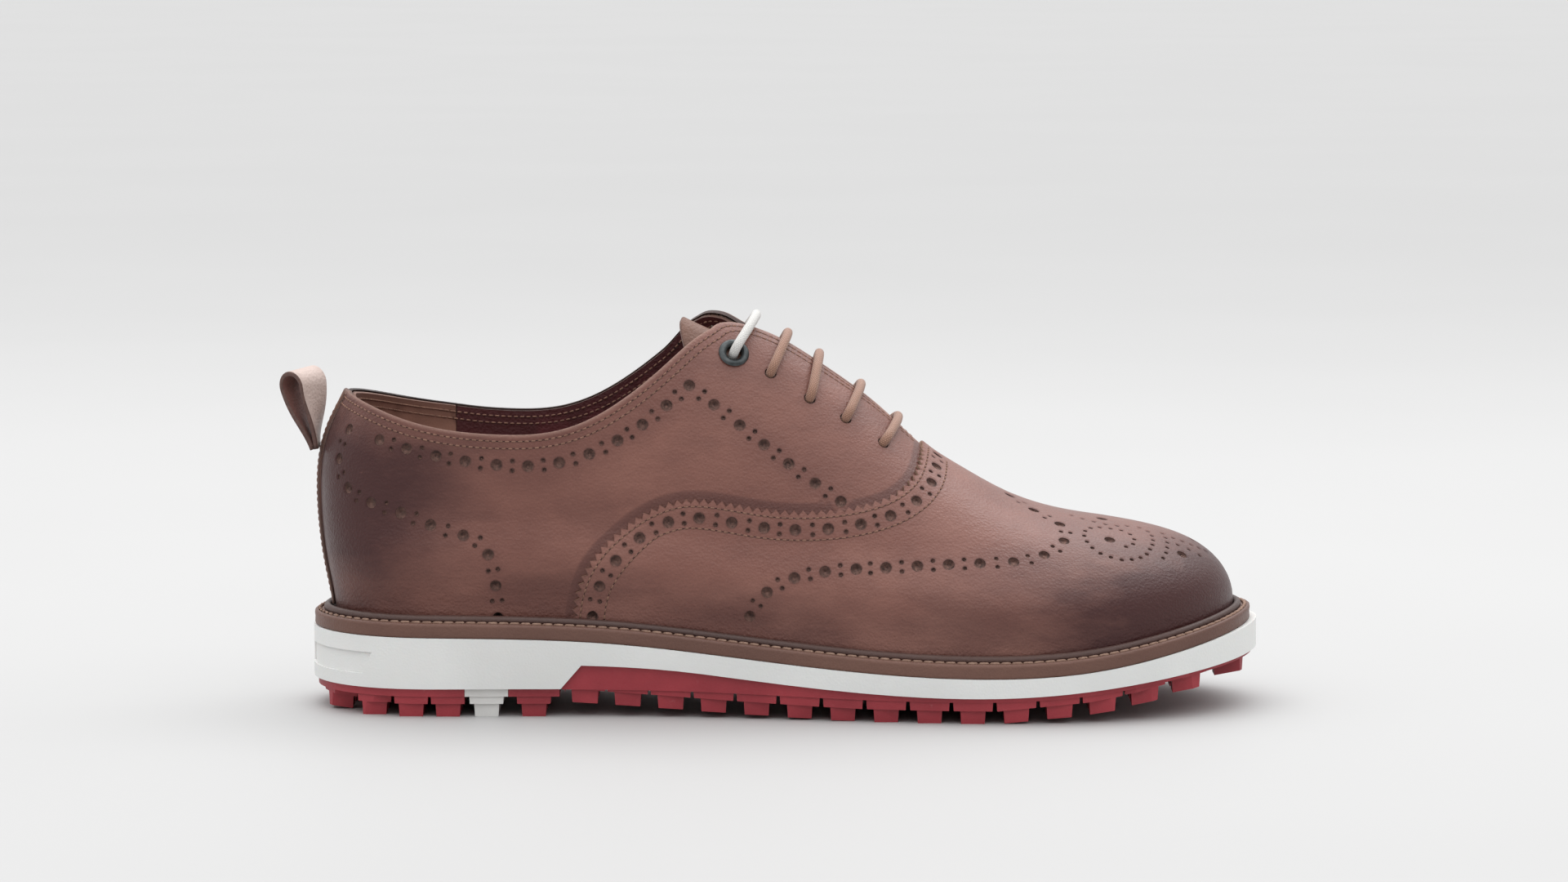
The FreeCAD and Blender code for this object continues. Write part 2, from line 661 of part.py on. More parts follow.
def make_upper():
    edge = shifted(VAMP_EDGE, 0, 0)
    under = shifted(VAMP_EDGE, 8, -5)
    trim("vamp", sheet_of("vamp", 0), prism("region_vamp", ahead_of(edge)), [welt_floor("vamp")])

    backer = feature("sheet_backer", layer(depths(1)[0], depths(1)[0] + 0.6))
    beyond = shifted(VAMP_EDGE, 9, -6)
    backer_area = prism("region_backer_back", ahead_of(beyond))
    puff_line = [Vector(x, z, 0) for x, z in ((106, 120), (104, 70), (110, 50), (118, 36), (122, 10))]
    trim("vamp_backer", backer, boolean("Cut", "region_backer", backer_area,
         prism("backer_front", ahead_of(puff_line))), [welt_floor("backer")])
    puff_edge = [Vector(p.x + 0.5, p.y, 0) for p in puff_line]
    trim("toe_puff", sheet_of("toe_puff", 1), prism("region_puff", ahead_of(puff_edge)),
         [welt_floor("puff")])

    for name, side in (("lateral", -1), ("medial", 1)):
        lift = 0.0 if side < 0 else 3.0
        region = boolean("Common", f"region_quarter_{name}", prism(f"rear_{name}", behind(under)),
                         box_region(f"half_{name}", LEFT, 80, FLOOR, CEILING, side))
        cuts = [welt_floor(name), opening(name, medial_lift=lift), throat_gap(name)]
        cuts += drill(f"quarter_{name}", "Sizes.punch_radius", HOLE_ROWS)
        cuts += drill(f"quarter_top_{name}", EYELET_HOLE, [EYELET_ROW])
        trim(f"quarter_{name}", sheet_of(f"quarter_{name}", 1), region, cuts)

        stay = prism(f"stay_{name}", line((-20, 150), (-20, 106), (0, 97), (22, 82), (40, 74), (52, 74),
                                          (52, 150), (-20, 150)), side)
        cuts = [opening(f"stay_{name}", 1.5, lift), throat_gap(f"stay_{name}", 1.0)]
        cuts += drill(f"stay_{name}", "Sizes.punch_radius", HOLE_ROWS)
        cuts += drill(f"stay_top_{name}", EYELET_HOLE, [EYELET_ROW])
        trim(f"eyestay_{name}", sheet_of(f"eyestay_{name}", 2), stay, cuts)

        rear = box_region(f"lining_{name}", GRIP_FRONT + 0.15, 44, FLOOR, CEILING, side)
        front = prism(f"lining_front_{name}", ahead_of(shifted(VAMP_EDGE, 2, -2)))
        cuts = [welt_floor(f"lining_{name}"), opening(f"lining_{name}", medial_lift=lift),
                throat_gap(f"lining_{name}"), front]
        cuts += drill(f"lining_{name}", "Sizes.punch_radius", HOLE_ROWS)
        cuts += drill(f"lining_top_{name}", EYELET_HOLE, [EYELET_ROW])
        trim(f"quarter_lining_{name}", sheet_of(f"lining_{name}", 3), rear, cuts)

    lined = prism("region_vamp_lining", ahead_of(shifted(VAMP_EDGE, 2.2, -2.2)))
    trim("vamp_lining", sheet_of("vamp_lining", 3), lined, [welt_floor("vamp_lining")])
    trim("heel_grip", sheet_of("heel_grip", 3), box_region("grip", LEFT, GRIP_FRONT, FLOOR, CEILING),
         [welt_floor("grip"), opening("grip")])
    counter = prism("region_counter", line((LEFT, FLOOR), (-78, FLOOR), (-72, 40), (-92, 66), (-125, 78),
                                           (LEFT, 82), (LEFT, FLOOR)))
    trim("heel_counter", sheet_of("counter", 2), counter, [welt_floor("counter")])
    half = size("backstrip_width") / 2
    strip = primitive("Box", "region_backstrip", Placement(Vector(LEFT, -half, 0), Rotation()),
                      Length=45.0, Width="Sizes.backstrip_width", Height=100.0)
    trim("backstrip", sheet_of("backstrip", 0), strip,
         [welt_floor("backstrip"), opening("backstrip", 1.0)])


# ---------------------------------------------------------------- tongue, laces and fittings

TONGUE_BACK, TONGUE_FRONT = -30.0, 57.0


def under_facings(depth):
    """A depth for the tongue's plies, shallower behind the throat where the ridge is tight."""
    return lambda x: 3 + (depth - 3) * ease(x, -70, -40)


def make_tongue():
    wide, thick = size("tongue_width") / 2, size("tongue_thick")
    outer = 8.2
    plan = [(TONGUE_BACK, -wide), (TONGUE_BACK + 3, -wide - 2), (20, -wide + 2),
            (TONGUE_FRONT, -wide + 8), (TONGUE_FRONT, wide - 8), (20, wide - 2),
            (TONGUE_BACK + 3, wide + 2), (TONGUE_BACK, wide)]
    for label, start, deep in (("tongue", outer, thick), ("tongue_lining", outer + thick + 0.1, 0.7)):
        blank = feature(f"sheet_{label}", layer(under_facings(start), under_facings(start + deep)))
        roof = box_region(f"{label}_side", TONGUE_BACK - 5, TONGUE_FRONT + 5, 58, CEILING)
        upper_part = boolean("Common", f"{label}_blank", blank, roof)
        boolean("Common", label, upper_part, column(f"{label}_plan", plan))


LACE_OUT, LACE_IN = 0.45, -5.95     # lift of a lace's centre over the master surface, seen and hidden
OVER_EYELET = 1.6                   # its lift where it crosses an eyelet's flange
CORNER = 8.0                        # widest bend of a lace


def lace_point(row, share, side, lift):
    """A point over the throat on a row's tilted plane: share 1 at the hole, 0 at the ridge."""
    x, z, ridge_x = row
    hole, _ = side_point(x, z, side)
    up = Vector(ridge_x - x, 0, ridge_z(ridge_x) - z).normalize()
    start = Vector(x, hole.y * share, z)
    low, high = -4.0, 40.0
    for _ in range(34):
        middle = (low + high) / 2
        p = start + up * middle
        if shape_error(p.x, p.y, p.z) < 0:
            low = middle
        else:
            high = middle
    p = start + up * low
    tilt = math.atan2(p.y, p.z)
    return p + surface_normal(p.x, tilt) * lift


def bar(row, side, lift=LACE_OUT, count=9):
    """Lace points from a hole on one side, over the ridge, to the other side's hole."""
    shares = [1 - 2 * k / (count - 1) for k in range(count)]
    return [lace_point(row, abs(s), side if s > 0 else -side, lift) for s in shares]


def through(row, side):
    """The point inside the upper behind a hole."""
    p, n = side_point(row[0], row[1], side)
    return p + n * LACE_IN


def crossing(row, other, side, count=9):
    """Hidden lace points from a row's hole on one side to the next row's hole on the other."""
    points = []
    for k in range(1, count - 1):
        t = k / (count - 1)
        mixed = [a + (b - a) * t for a, b in zip(row, other)]
        share = 1 - 2 * t
        points.append(lace_point(mixed, abs(share), side if share > 0 else -side, LACE_IN))
    return points


def tail(spots, side):
    """Lace points down the inside of a quarter, through (x, height) spots."""
    points = []
    for x, z in spots:
        p, n = side_point(x, z, side)
        points.append(p + n * LACE_IN)
    return points


def rounded_path(points, widest):
    """Straight runs joined by tangent arcs, as a wire, and the smallest arc's radius."""
    edges, here, smallest = [], points[0], widest
    for before, corner, after in zip(points, points[1:], points[2:]):
        a, b = (before - corner), (after - corner)
        turn = math.pi - a.getAngle(b)
        if turn < 0.01:
            continue
        reach = min(0.48 * a.Length, 0.48 * b.Length, widest * math.tan(turn / 2))
        smallest = min(smallest, reach / math.tan(turn / 2))
        start, end = corner + a.normalize() * reach, corner + b.normalize() * reach
        radius = reach / math.tan(turn / 2)
        inward = (a + b).normalize()
        middle = corner + inward * (radius / math.cos(turn / 2) - radius)
        edges.append(Part.LineSegment(here, start).toShape())
        edges.append(Part.Arc(start, middle, end).toShape())
        here = end
    edges.append(Part.LineSegment(here, points[-1]).toShape())
    return Part.Wire(edges), smallest


def cord(label, points, radius):
    wire, smallest = rounded_path(points, CORNER)
    first = (points[1] - points[0]).normalize()
    profile = Part.Wire(Part.Circle(points[0], first, radius).toShape())
    pipe = Part.BRepOffsetAPI.MakePipeShell(wire)
    pipe.setFrenetMode(False)
    pipe.add(profile)
    pipe.build()
    pipe.makeSolid()
    obj = feature(label, pipe.shape())
    share = obj.Shape.Volume / (math.pi * radius ** 2 * wire.Length)
    print(f"{label}: length {wire.Length:.0f}, smallest bend {smallest:.1f}, volume {share:.3f}")
    return obj


AGLET_SHARE = 0.3     # share of a tail's last straight run that is still bare lace


def end_at_aglet(points, label):
    """Shortens the last straight run and puts an aglet on the rest of it."""
    last, end = points[-2], points[-1]
    run = end - last
    stop = last + run * AGLET_SHARE
    start = last + run * (AGLET_SHARE + 0.01)
    place = Placement(start, Rotation(Vector(0, 0, 1), run))
    aglet = primitive("Cylinder", label, place, Radius="Sizes.lace_radius + 0.1",
                      Height=(end - start).Length)
    return points[:-1] + [stop], aglet


def make_laces():
    radius = size("lace_radius")
    path = []
    for k, row in enumerate(HOLE_ROWS):
        path += [through(row, -1)] + bar(row, -1) + [through(row, 1)]
        if k < len(HOLE_ROWS) - 1:
            path += crossing(row, HOLE_ROWS[k + 1], 1)
    first = tail([(-3.0, 103.0), (-6.5, 97.0), (-12.0, 78.0)], -1)
    last = tail([(34.5, 81.5), (30.0, 77.0), (10.0, 70.0)], 1)
    start, aglet_a = end_at_aglet([path[0]] + first, "aglet_a")
    end, aglet_b = end_at_aglet([path[-1]] + last, "aglet_b")
    cord("lace_brown", start[:0:-1] + path + end[1:], radius)

    top = [through(EYELET_ROW, -1)] + bar(EYELET_ROW, -1, OVER_EYELET) + [through(EYELET_ROW, 1)]
    inside = [(-14.5, 109.0), (-17.0, 103.0), (-22.0, 84.0)]
    left, aglet_c = end_at_aglet([top[0]] + tail(inside, -1), "aglet_c")
    right, aglet_d = end_at_aglet([top[-1]] + tail(inside, 1), "aglet_d")
    cord("lace_white", left[:0:-1] + top + right[1:], radius)
    group("lace_aglets", [aglet_a, aglet_b, aglet_c, aglet_d])


def group(label, members):
    obj = doc.addObject("Part::Compound", label)
    obj.Label = label
    obj.Links = members
    return obj


def eyelet(label, place):
    """A flanged metal eyelet, turned about its own axis, with its origin on the leather's surface."""
    bore, wall, lift = size("eyelet_bore"), size("eyelet_wall"), size("eyelet_lift")
    rim, deep = size("eyelet_flange"), depths(3)[1] - depths(1)[0] + 0.1
    body = new_body(label)
    curves = line((bore, lift), (bore, -deep), (bore + wall, -deep), (bore + wall, lift), (rim, lift))
    crown = Vector((bore + rim) / 2, lift + size("eyelet_lip"), 0)
    curves.append(Part.Arc(Vector(rim, lift, 0), crown, Vector(bore, lift, 0)))
    turned = body.newObject("PartDesign::Revolution", f"{label}_turned")
    profile = new_sketch(body, f"{label}_profile", "XZ_Plane", curves)
    turned.Profile = profile
    turned.ReferenceAxis = (profile, ["V_Axis"])
    turned.Angle = 360
    body.Placement = place
    return body


def make_eyelets():
    pair = []
    for name, side in (("lateral", -1), ("medial", 1)):
        p, n = side_point(EYELET_ROW[0], EYELET_ROW[1], side)
        place = Placement(p - n * depths(1)[0], Rotation(Vector(0, 0, 1), n))
        pair.append(eyelet(f"eyelet_{name}", place))
    group("eyelets", pair)


TAB_AXIS = Vector(-148.4, 82.6, 0)      # x and height of the pull tab's sewn base
TAB_TILT, TAB_LENGTH = 10.0, 21.0       # degrees back from upright, base to the top bend's centre
TAB_BASE, TAB_TOP = 1.1, 5.1            # radii of the loop's two ends


def drop_outline(start, start_radius, end, end_radius):
    """A closed outline round two circles on the tab's centre line, in the XZ plane."""
    tilt = math.radians(90 + TAB_TILT)
    slope = math.asin((end_radius - start_radius) / (end - start))

    def at(along, radius, angle):
        centre = TAB_AXIS + Vector(math.cos(tilt), math.sin(tilt), 0) * along
        return centre + Vector(math.cos(tilt + angle), math.sin(tilt + angle), 0) * radius

    lean = math.pi / 2 + slope
    a, b = at(start, start_radius, -lean), at(end, end_radius, -lean)
    c, d = at(end, end_radius, lean), at(start, start_radius, lean)
    return [Part.LineSegment(a, b), Part.Arc(b, at(end, end_radius, 0), c), Part.LineSegment(c, d),
            Part.Arc(d, at(start, start_radius, math.pi), a)]


def make_pull_tab():
    strap = size("tab_strap")
    body = new_body("pull_tab")
    curves = drop_outline(0, TAB_BASE, TAB_LENGTH, TAB_TOP)
    curves += drop_outline(6, 0.6, TAB_LENGTH, TAB_TOP - strap)
    pad = body.newObject("PartDesign::Pad", "pull_tab_pad")
    pad.Profile = new_sketch(body, "pull_tab_side", "XZ_Plane", curves)
    pad.Midplane = True
    pad.setExpression("Length", "Sizes.tab_width")


# ---------------------------------------------------------------- build, check and write

NODES = (
    "outsole_forefoot", "outsole_heel", "outsole_heel_front", "heel_insert", "midsole",
    "welt", "storm_rand", "welt_stitching",
    "bottom_filler", "shank", "insole_board", "sockliner_foam", "sockliner_cover",
    "vamp", "vamp_backer", "toe_puff", "quarter_lateral", "quarter_medial", "backstrip", "heel_counter",
    "eyestay_lateral", "eyestay_medial",
    "vamp_lining", "quarter_lining_lateral", "quarter_lining_medial", "heel_grip",
    "tongue", "tongue_lining", "pull_tab", "eyelets", "lace_brown", "lace_white", "lace_aglets",
)

make_sole()
make_welt()
make_footbed()
make_upper()
make_tongue()
make_laces()
make_eyelets()
make_pull_tab()
doc.recompute()

for obj in doc.Objects:
    if "Invalid" in obj.State or "Error" in obj.State:
        raise RuntimeError(f"{obj.Label} did not build: {obj.State}")

os.makedirs("parts", exist_ok=True)
for node in NODES:
    shape = doc.getObjectsByLabel(node)[0].Shape
    if shape.isNull() or not shape.isValid() or not shape.Solids:
        raise RuntimeError(f"{node} has no valid shape")
    shape.exportStep(f"parts/{node}.step")
    print(f"{node}: {len(shape.Solids)} solid(s), {shape.Volume:.0f} mm3")
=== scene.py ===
"""Looks of the golf shoe. Lengths are millimetres until a mesh is made, in the same frame as the CAD."""
import math
import bpy
import numpy as np
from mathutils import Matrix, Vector
from mathutils.geometry import delaunay_2d_cdt


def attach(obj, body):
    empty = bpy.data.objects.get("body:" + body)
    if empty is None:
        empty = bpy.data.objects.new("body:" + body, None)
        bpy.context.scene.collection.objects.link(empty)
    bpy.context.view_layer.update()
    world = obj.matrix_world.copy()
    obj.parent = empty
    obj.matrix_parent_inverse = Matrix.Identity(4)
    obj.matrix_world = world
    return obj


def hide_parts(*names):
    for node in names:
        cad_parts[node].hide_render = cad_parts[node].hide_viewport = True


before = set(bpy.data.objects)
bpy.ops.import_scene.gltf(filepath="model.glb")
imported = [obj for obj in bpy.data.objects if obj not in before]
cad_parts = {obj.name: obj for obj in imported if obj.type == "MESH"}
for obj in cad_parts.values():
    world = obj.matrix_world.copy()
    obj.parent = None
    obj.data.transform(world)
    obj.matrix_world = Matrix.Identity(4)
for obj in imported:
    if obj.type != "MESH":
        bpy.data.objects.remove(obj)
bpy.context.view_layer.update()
MM = 0.001

# ---------------------------------------------------------------- camera, stage and light

VIEW_RISE = math.radians(6.0)       # the camera looks down this much, square to the shoe's side
VIEW_DISTANCE, VIEW_WIDTH = 1.8, 0.508
AIM = Vector((0.0036, 0.0, 0.0847))
HORIZON, OVERHEAD = 0.66, 2.05      # the surrounding light's strength, level and from above


def make_camera():
    data = bpy.data.cameras.new("camera")
    data.sensor_width = 36.0
    data.lens = 36.0 * VIEW_DISTANCE / VIEW_WIDTH
    camera = bpy.data.objects.new("camera", data)
    bpy.context.scene.collection.objects.link(camera)
    camera.location = AIM + Vector((0, -math.cos(VIEW_RISE), math.sin(VIEW_RISE))) * VIEW_DISTANCE
    camera.rotation_euler = (math.pi / 2 - VIEW_RISE, 0, 0)
    bpy.context.scene.camera = camera


def make_stage():
    """A pale floor that runs on to the horizon."""
    bpy.ops.mesh.primitive_circle_add(vertices=64, radius=60.0, fill_type="TRIFAN")
    floor = bpy.context.object
    floor.name = "floor"
    floor.data.materials.append(plain_material("floor_paint", (0.45, 0.45, 0.45), 0.6))


def make_lights():
    """An even horizon that brightens to a soft overhead light, and a weak lamp for the highlight's shape."""
    world = bpy.data.worlds.new("world")
    world.use_nodes = True
    tree = world.node_tree
    parts = tree.nodes.new("ShaderNodeSeparateXYZ")
    rise = tree.nodes.new("ShaderNodeMapRange")
    rise.interpolation_type = "SMOOTHSTEP"
    for name, number in (("From Min", 0.25), ("From Max", 0.90), ("To Min", HORIZON), ("To Max", OVERHEAD)):
        rise.inputs[name].default_value = number
    tree.links.new(tree.nodes.new("ShaderNodeTexCoord").outputs["Generated"], parts.inputs[0])
    tree.links.new(parts.outputs["Z"], rise.inputs["Value"])
    tree.links.new(rise.outputs["Result"], tree.nodes["Background"].inputs["Strength"])
    tree.nodes["Background"].inputs["Color"].default_value = (1, 1, 1, 1)
    bpy.context.scene.world = world
    data = bpy.data.lights.new("top", "AREA")
    data.shape, data.size, data.size_y = "RECTANGLE", 1.8, 0.7
    data.energy = 8.0
    lamp = bpy.data.objects.new("top", data)
    bpy.context.scene.collection.objects.link(lamp)
    lamp.location = (0.15, 0.60, 1.2)
    aim = Vector((0.02, 0, 0.05)) - lamp.location
    lamp.rotation_euler = aim.to_track_quat("-Z", "Y").to_euler()


# ---------------------------------------------------------------- materials


class Nodes:
    """A new material with a short way to add and join its nodes."""

    def __init__(self, name):
        self.material = bpy.data.materials.new(name)
        self.material.use_nodes = True
        self.tree = self.material.node_tree
        self.shader = self.tree.nodes["Principled BSDF"]
        self.place = self.add("TexCoord").outputs["Object"]

    def add(self, kind, **settings):
        node = self.tree.nodes.new("ShaderNode" + kind)
        for name, value in settings.items():
            if name in node.inputs:
                node.inputs[name].default_value = value
            else:
                setattr(node, name, value)
        return node

    def join(self, output, target):
        self.tree.links.new(output, target)

    def set(self, **values):
        for name, value in values.items():
            self.shader.inputs[name.replace("_", " ")].default_value = value

    def noise(self, scale, detail=4.0, stretch=None, rough=0.55):
        """Noise over the object's own space; scale is in features per metre."""
        node = self.add("TexNoise", Scale=scale, Detail=detail, Roughness=rough)
        if stretch:
            mapping = self.add("Mapping")
            mapping.inputs["Scale"].default_value = stretch
            self.join(self.place, mapping.inputs["Vector"])
            self.join(mapping.outputs["Vector"], node.inputs["Vector"])
        else:
            self.join(self.place, node.inputs["Vector"])
        return node.outputs["Fac"]

    def cells(self, scale):
        node = self.add("TexVoronoi", Scale=scale)
        self.join(self.place, node.inputs["Vector"])
        return node.outputs["Distance"]

    def remap(self, value, low, high, to_low, to_high):
        """Eases a value's range low...high to another; low may be the larger."""
        node = self.add("MapRange", interpolation_type="SMOOTHSTEP")
        for name, number in (("From Min", low), ("From Max", high), ("To Min", to_low), ("To Max", to_high)):
            node.inputs[name].default_value = number
        self.join(value, node.inputs["Value"])
        return node.outputs["Result"]

    def maths(self, operation, a, b=None):
        node = self.add("Math", operation=operation)
        for slot, value in enumerate((a, b)):
            if value is None:
                continue
            if isinstance(value, (int, float)):
                node.inputs[slot].default_value = value
            else:
                self.join(value, node.inputs[slot])
        return node.outputs[0]

    def mix(self, factor, a, b):
        node = self.add("Mix", data_type="RGBA")
        for value, target in ((factor, node.inputs[0]), (a, node.inputs[6]), (b, node.inputs[7])):
            if isinstance(value, tuple):
                target.default_value = (*value, 1)
            elif isinstance(value, float):
                target.default_value = value
            else:
                self.join(value, target)
        return node.outputs[2]

    def axis(self, name):
        node = self.add("SeparateXYZ")
        self.join(self.place, node.inputs[0])
        return node.outputs[name]

    def attribute(self, name):
        return self.add("Attribute", attribute_name=name).outputs["Fac"]

    def bump(self, *layers):
        """Stacks (height, strength, distance) bumps."""
        below = None
        for height, strength, distance in layers:
            node = self.add("Bump", Strength=strength, Distance=distance)
            self.join(height, node.inputs["Height"])
            if below:
                self.join(below, node.inputs["Normal"])
            below = node.outputs["Normal"]
        self.join(below, self.shader.inputs["Normal"])

    def colour(self, output):
        self.join(output, self.shader.inputs["Base Color"])

    def roughness(self, output):
        self.join(output, self.shader.inputs["Roughness"])


def plain_material(name, colour, roughness):
    nodes = Nodes(name)
    nodes.set(Base_Color=(*colour, 1), Roughness=roughness)
    tint = nodes.noise(3.0, 2.0)
    nodes.colour(nodes.mix(nodes.remap(tint, 0.3, 0.7, 0.0, 1.0), tuple(c * 0.985 for c in colour), colour))
    return nodes.material


PALE_RIM = (0.400, 0.245, 0.200)


def leather(name, light, mid, dark, roughness=0.42, burnish_and_low_shade=1.0, grain=1.0):
    """Burnished calf: cloudy dye, darker at toe, heel and seams, fine grain, pores and pale scratches; towards
    the bottom a painted shade, low on the heel a painted sheen, and the seam share also carries painted shade.
    """
    nodes = Nodes(name)
    cloud = nodes.noise(16.0, 5.0, stretch=(1.0, 1.0, 1.5))
    patch = nodes.noise(38.0, 5.0, stretch=(0.7, 1.0, 1.6), rough=0.6)
    streak = nodes.noise(75.0, 7.0, stretch=(0.5, 1.0, 1.9), rough=0.7)
    base = nodes.mix(nodes.remap(cloud, 0.34, 0.66, 0.0, 1.0), mid, light)
    base = nodes.mix(nodes.remap(streak, 0.40, 0.75, 0.0, 0.55), base, mid)
    x, z = nodes.axis("X"), nodes.axis("Z")
    toe = nodes.maths("MULTIPLY", nodes.remap(x, 0.030, 0.140, 0.0, 1.25),
                      nodes.remap(z, 0.064, 0.040, 0.08, 1.0))
    heel = nodes.maths("MULTIPLY", nodes.remap(x, -0.070, -0.145, 0.0, 1.28),
                       nodes.remap(z, 0.102, 0.082, 0.45, 1.0))
    # painted sheen: the heel's darkening eases off towards its bottom
    heel = nodes.maths("MULTIPLY", heel, nodes.remap(z, 0.036, 0.060, 0.55, 1.0))
    # painted shade: the upper darkens towards the bottom
    foot = nodes.remap(z, 0.056, 0.026, 0.0, 0.42)
    shade = nodes.maths("MAXIMUM", nodes.maths("MAXIMUM", toe, heel), foot)
    shade = nodes.maths("ADD", shade, nodes.remap(patch, 0.32, 0.70, -0.20, 0.20))
    shade = nodes.maths("MULTIPLY", shade, burnish_and_low_shade)
    # the seam share darkens seams and edges, and also carries painted shade at hole mouths and behind the
    # vamp's edge
    seam = nodes.maths("MULTIPLY", nodes.attribute("seam"), 0.6)
    shade = nodes.maths("MINIMUM", nodes.maths("MAXIMUM", nodes.maths("MAXIMUM", shade, seam), 0.0), 1.0)
    base = nodes.mix(shade, base, dark)
    rim = nodes.remap(nodes.attribute("seam"), -0.9, 0.0, 0.85, 0.0)
    base = nodes.mix(rim, base, PALE_RIM)
    pores = nodes.cells(1150.0)
    fine = nodes.noise(2600.0, 3.0)
    wrinkle = nodes.noise(420.0, 5.0, stretch=(0.7, 1.0, 1.3), rough=0.7)
    base = nodes.mix(nodes.remap(pores, 0.02, 0.22, 0.22, 0.0), base, dark)
    scratch = nodes.noise(120.0, 9.0, stretch=(0.22, 1.0, 2.4), rough=0.8)
    base = nodes.mix(nodes.remap(scratch, 0.60, 0.72, 0.0, 0.30), base, light)
    nodes.colour(base)
    gloss = nodes.maths("ADD", cloud, nodes.maths("MULTIPLY", wrinkle, 0.5))
    nodes.roughness(nodes.remap(gloss, 0.5, 1.0, roughness - 0.09, roughness + 0.10))
    nodes.set(Specular_IOR_Level=0.36, Coat_Weight=0.10, Coat_Roughness=0.26, Sheen_Weight=0.04,
              Sheen_Roughness=0.4)
    nodes.bump((wrinkle, 0.38 * grain, 0.0007), (pores, 0.30 * grain, 0.0005), (fine, 0.14 * grain, 0.0003))
    return nodes.material


def cord_material(name, light, dark):
    """A round braid, woven from the cord's own length and girth coordinates."""
    nodes = Nodes(name)
    uv = nodes.add("UVMap").outputs["UV"]
    heights = []
    for slope in (1.0, -1.0):
        mapping = nodes.add("Mapping")
        mapping.inputs["Rotation"].default_value = (0, 0, math.radians(38.0) * slope)
        nodes.join(uv, mapping.inputs["Vector"])
        wave = nodes.add("TexWave", Scale=0.55, Distortion=0.6, Detail=1.0)
        nodes.join(mapping.outputs["Vector"], wave.inputs["Vector"])
        heights.append(wave.outputs["Fac"])
    weave = nodes.maths("MULTIPLY", heights[0], heights[1])
    wear = nodes.noise(130.0, 4.0)
    shade = nodes.mix(nodes.remap(weave, 0.05, 0.75, 0.0, 1.0), dark, light)
    nodes.colour(nodes.mix(nodes.remap(wear, 0.35, 0.75, 0.0, 0.35), shade, dark))
    nodes.set(Roughness=0.62, Sheen_Weight=0.2, Sheen_Roughness=0.5)
    nodes.bump((weave, 0.5, 0.0004), (nodes.noise(3000.0, 2.0), 0.2, 0.0002))
    return nodes.material


def rubber(name, light, dark):
    nodes = Nodes(name)
    cloud = nodes.noise(35.0, 4.0)
    speck = nodes.noise(1400.0, 3.0)
    base = nodes.mix(nodes.remap(cloud, 0.3, 0.7, 0.0, 1.0), dark, light)
    dust = nodes.noise(260.0, 6.0, rough=0.7)
    nodes.colour(nodes.mix(nodes.remap(dust, 0.62, 0.8, 0.0, 0.12), base, (0.55, 0.45, 0.43)))
    nodes.roughness(nodes.remap(speck, 0.3, 0.7, 0.44, 0.6))
    nodes.set(Specular_IOR_Level=0.4)
    nodes.bump((speck, 0.16, 0.0003), (cloud, 0.1, 0.0006))
    return nodes.material


def foam(name, light, dark):
    """Moulded midsole foam: nearly white, with a fine skin texture and faint scuffs."""
    nodes = Nodes(name)
    cloud = nodes.noise(18.0, 4.0)
    cells = nodes.cells(1300.0)
    scuff = nodes.noise(150.0, 8.0, stretch=(0.4, 1.0, 1.8), rough=0.75)
    base = nodes.mix(nodes.remap(cloud, 0.3, 0.7, 0.0, 1.0), dark, light)
    nodes.colour(nodes.mix(nodes.remap(scuff, 0.64, 0.8, 0.0, 0.25), base, tuple(c * 0.8 for c in dark)))
    nodes.roughness(nodes.remap(cells, 0.0, 0.5, 0.5, 0.66))
    nodes.set(Specular_IOR_Level=0.35, Subsurface_Weight=0.04)
    nodes.bump((cells, 0.14, 0.0003), (cloud, 0.1, 0.0008))
    return nodes.material


def cloth(name, light, dark):
    nodes = Nodes(name)
    weave = nodes.maths("MULTIPLY", nodes.noise(900.0, 2.0, stretch=(1, 0.12, 1)),
                        nodes.noise(900.0, 2.0, stretch=(0.12, 1, 1)))
    nodes.colour(nodes.mix(nodes.remap(weave, 0.15, 0.4, 0.0, 1.0), dark, light))
    nodes.set(Roughness=0.85, Sheen_Weight=0.15)
    nodes.bump((weave, 0.5, 0.0004))
    return nodes.material


def metal(name, light, dark, roughness):
    nodes = Nodes(name)
    wear = nodes.noise(400.0, 5.0)
    nodes.colour(nodes.mix(nodes.remap(wear, 0.35, 0.7, 0.0, 1.0), dark, light))
    nodes.roughness(nodes.remap(wear, 0.3, 0.7, roughness, roughness + 0.12))
    nodes.set(Metallic=0.9)
    nodes.bump((nodes.noise(1500.0, 3.0), 0.1, 0.0002))
    return nodes.material


def plain_fibre(name, light, dark, roughness=0.75):
    """Thread, board and other small matt parts."""
    nodes = Nodes(name)
    mottle = nodes.noise(700.0, 4.0)
    nodes.colour(nodes.mix(nodes.remap(mottle, 0.3, 0.7, 0.0, 1.0), dark, light))
    nodes.set(Roughness=roughness)
    nodes.bump((mottle, 0.35, 0.0003))
    return nodes.material


TAN, BROWN, DARK = (0.262, 0.118, 0.090), (0.186, 0.074, 0.056), (0.048, 0.011, 0.010)
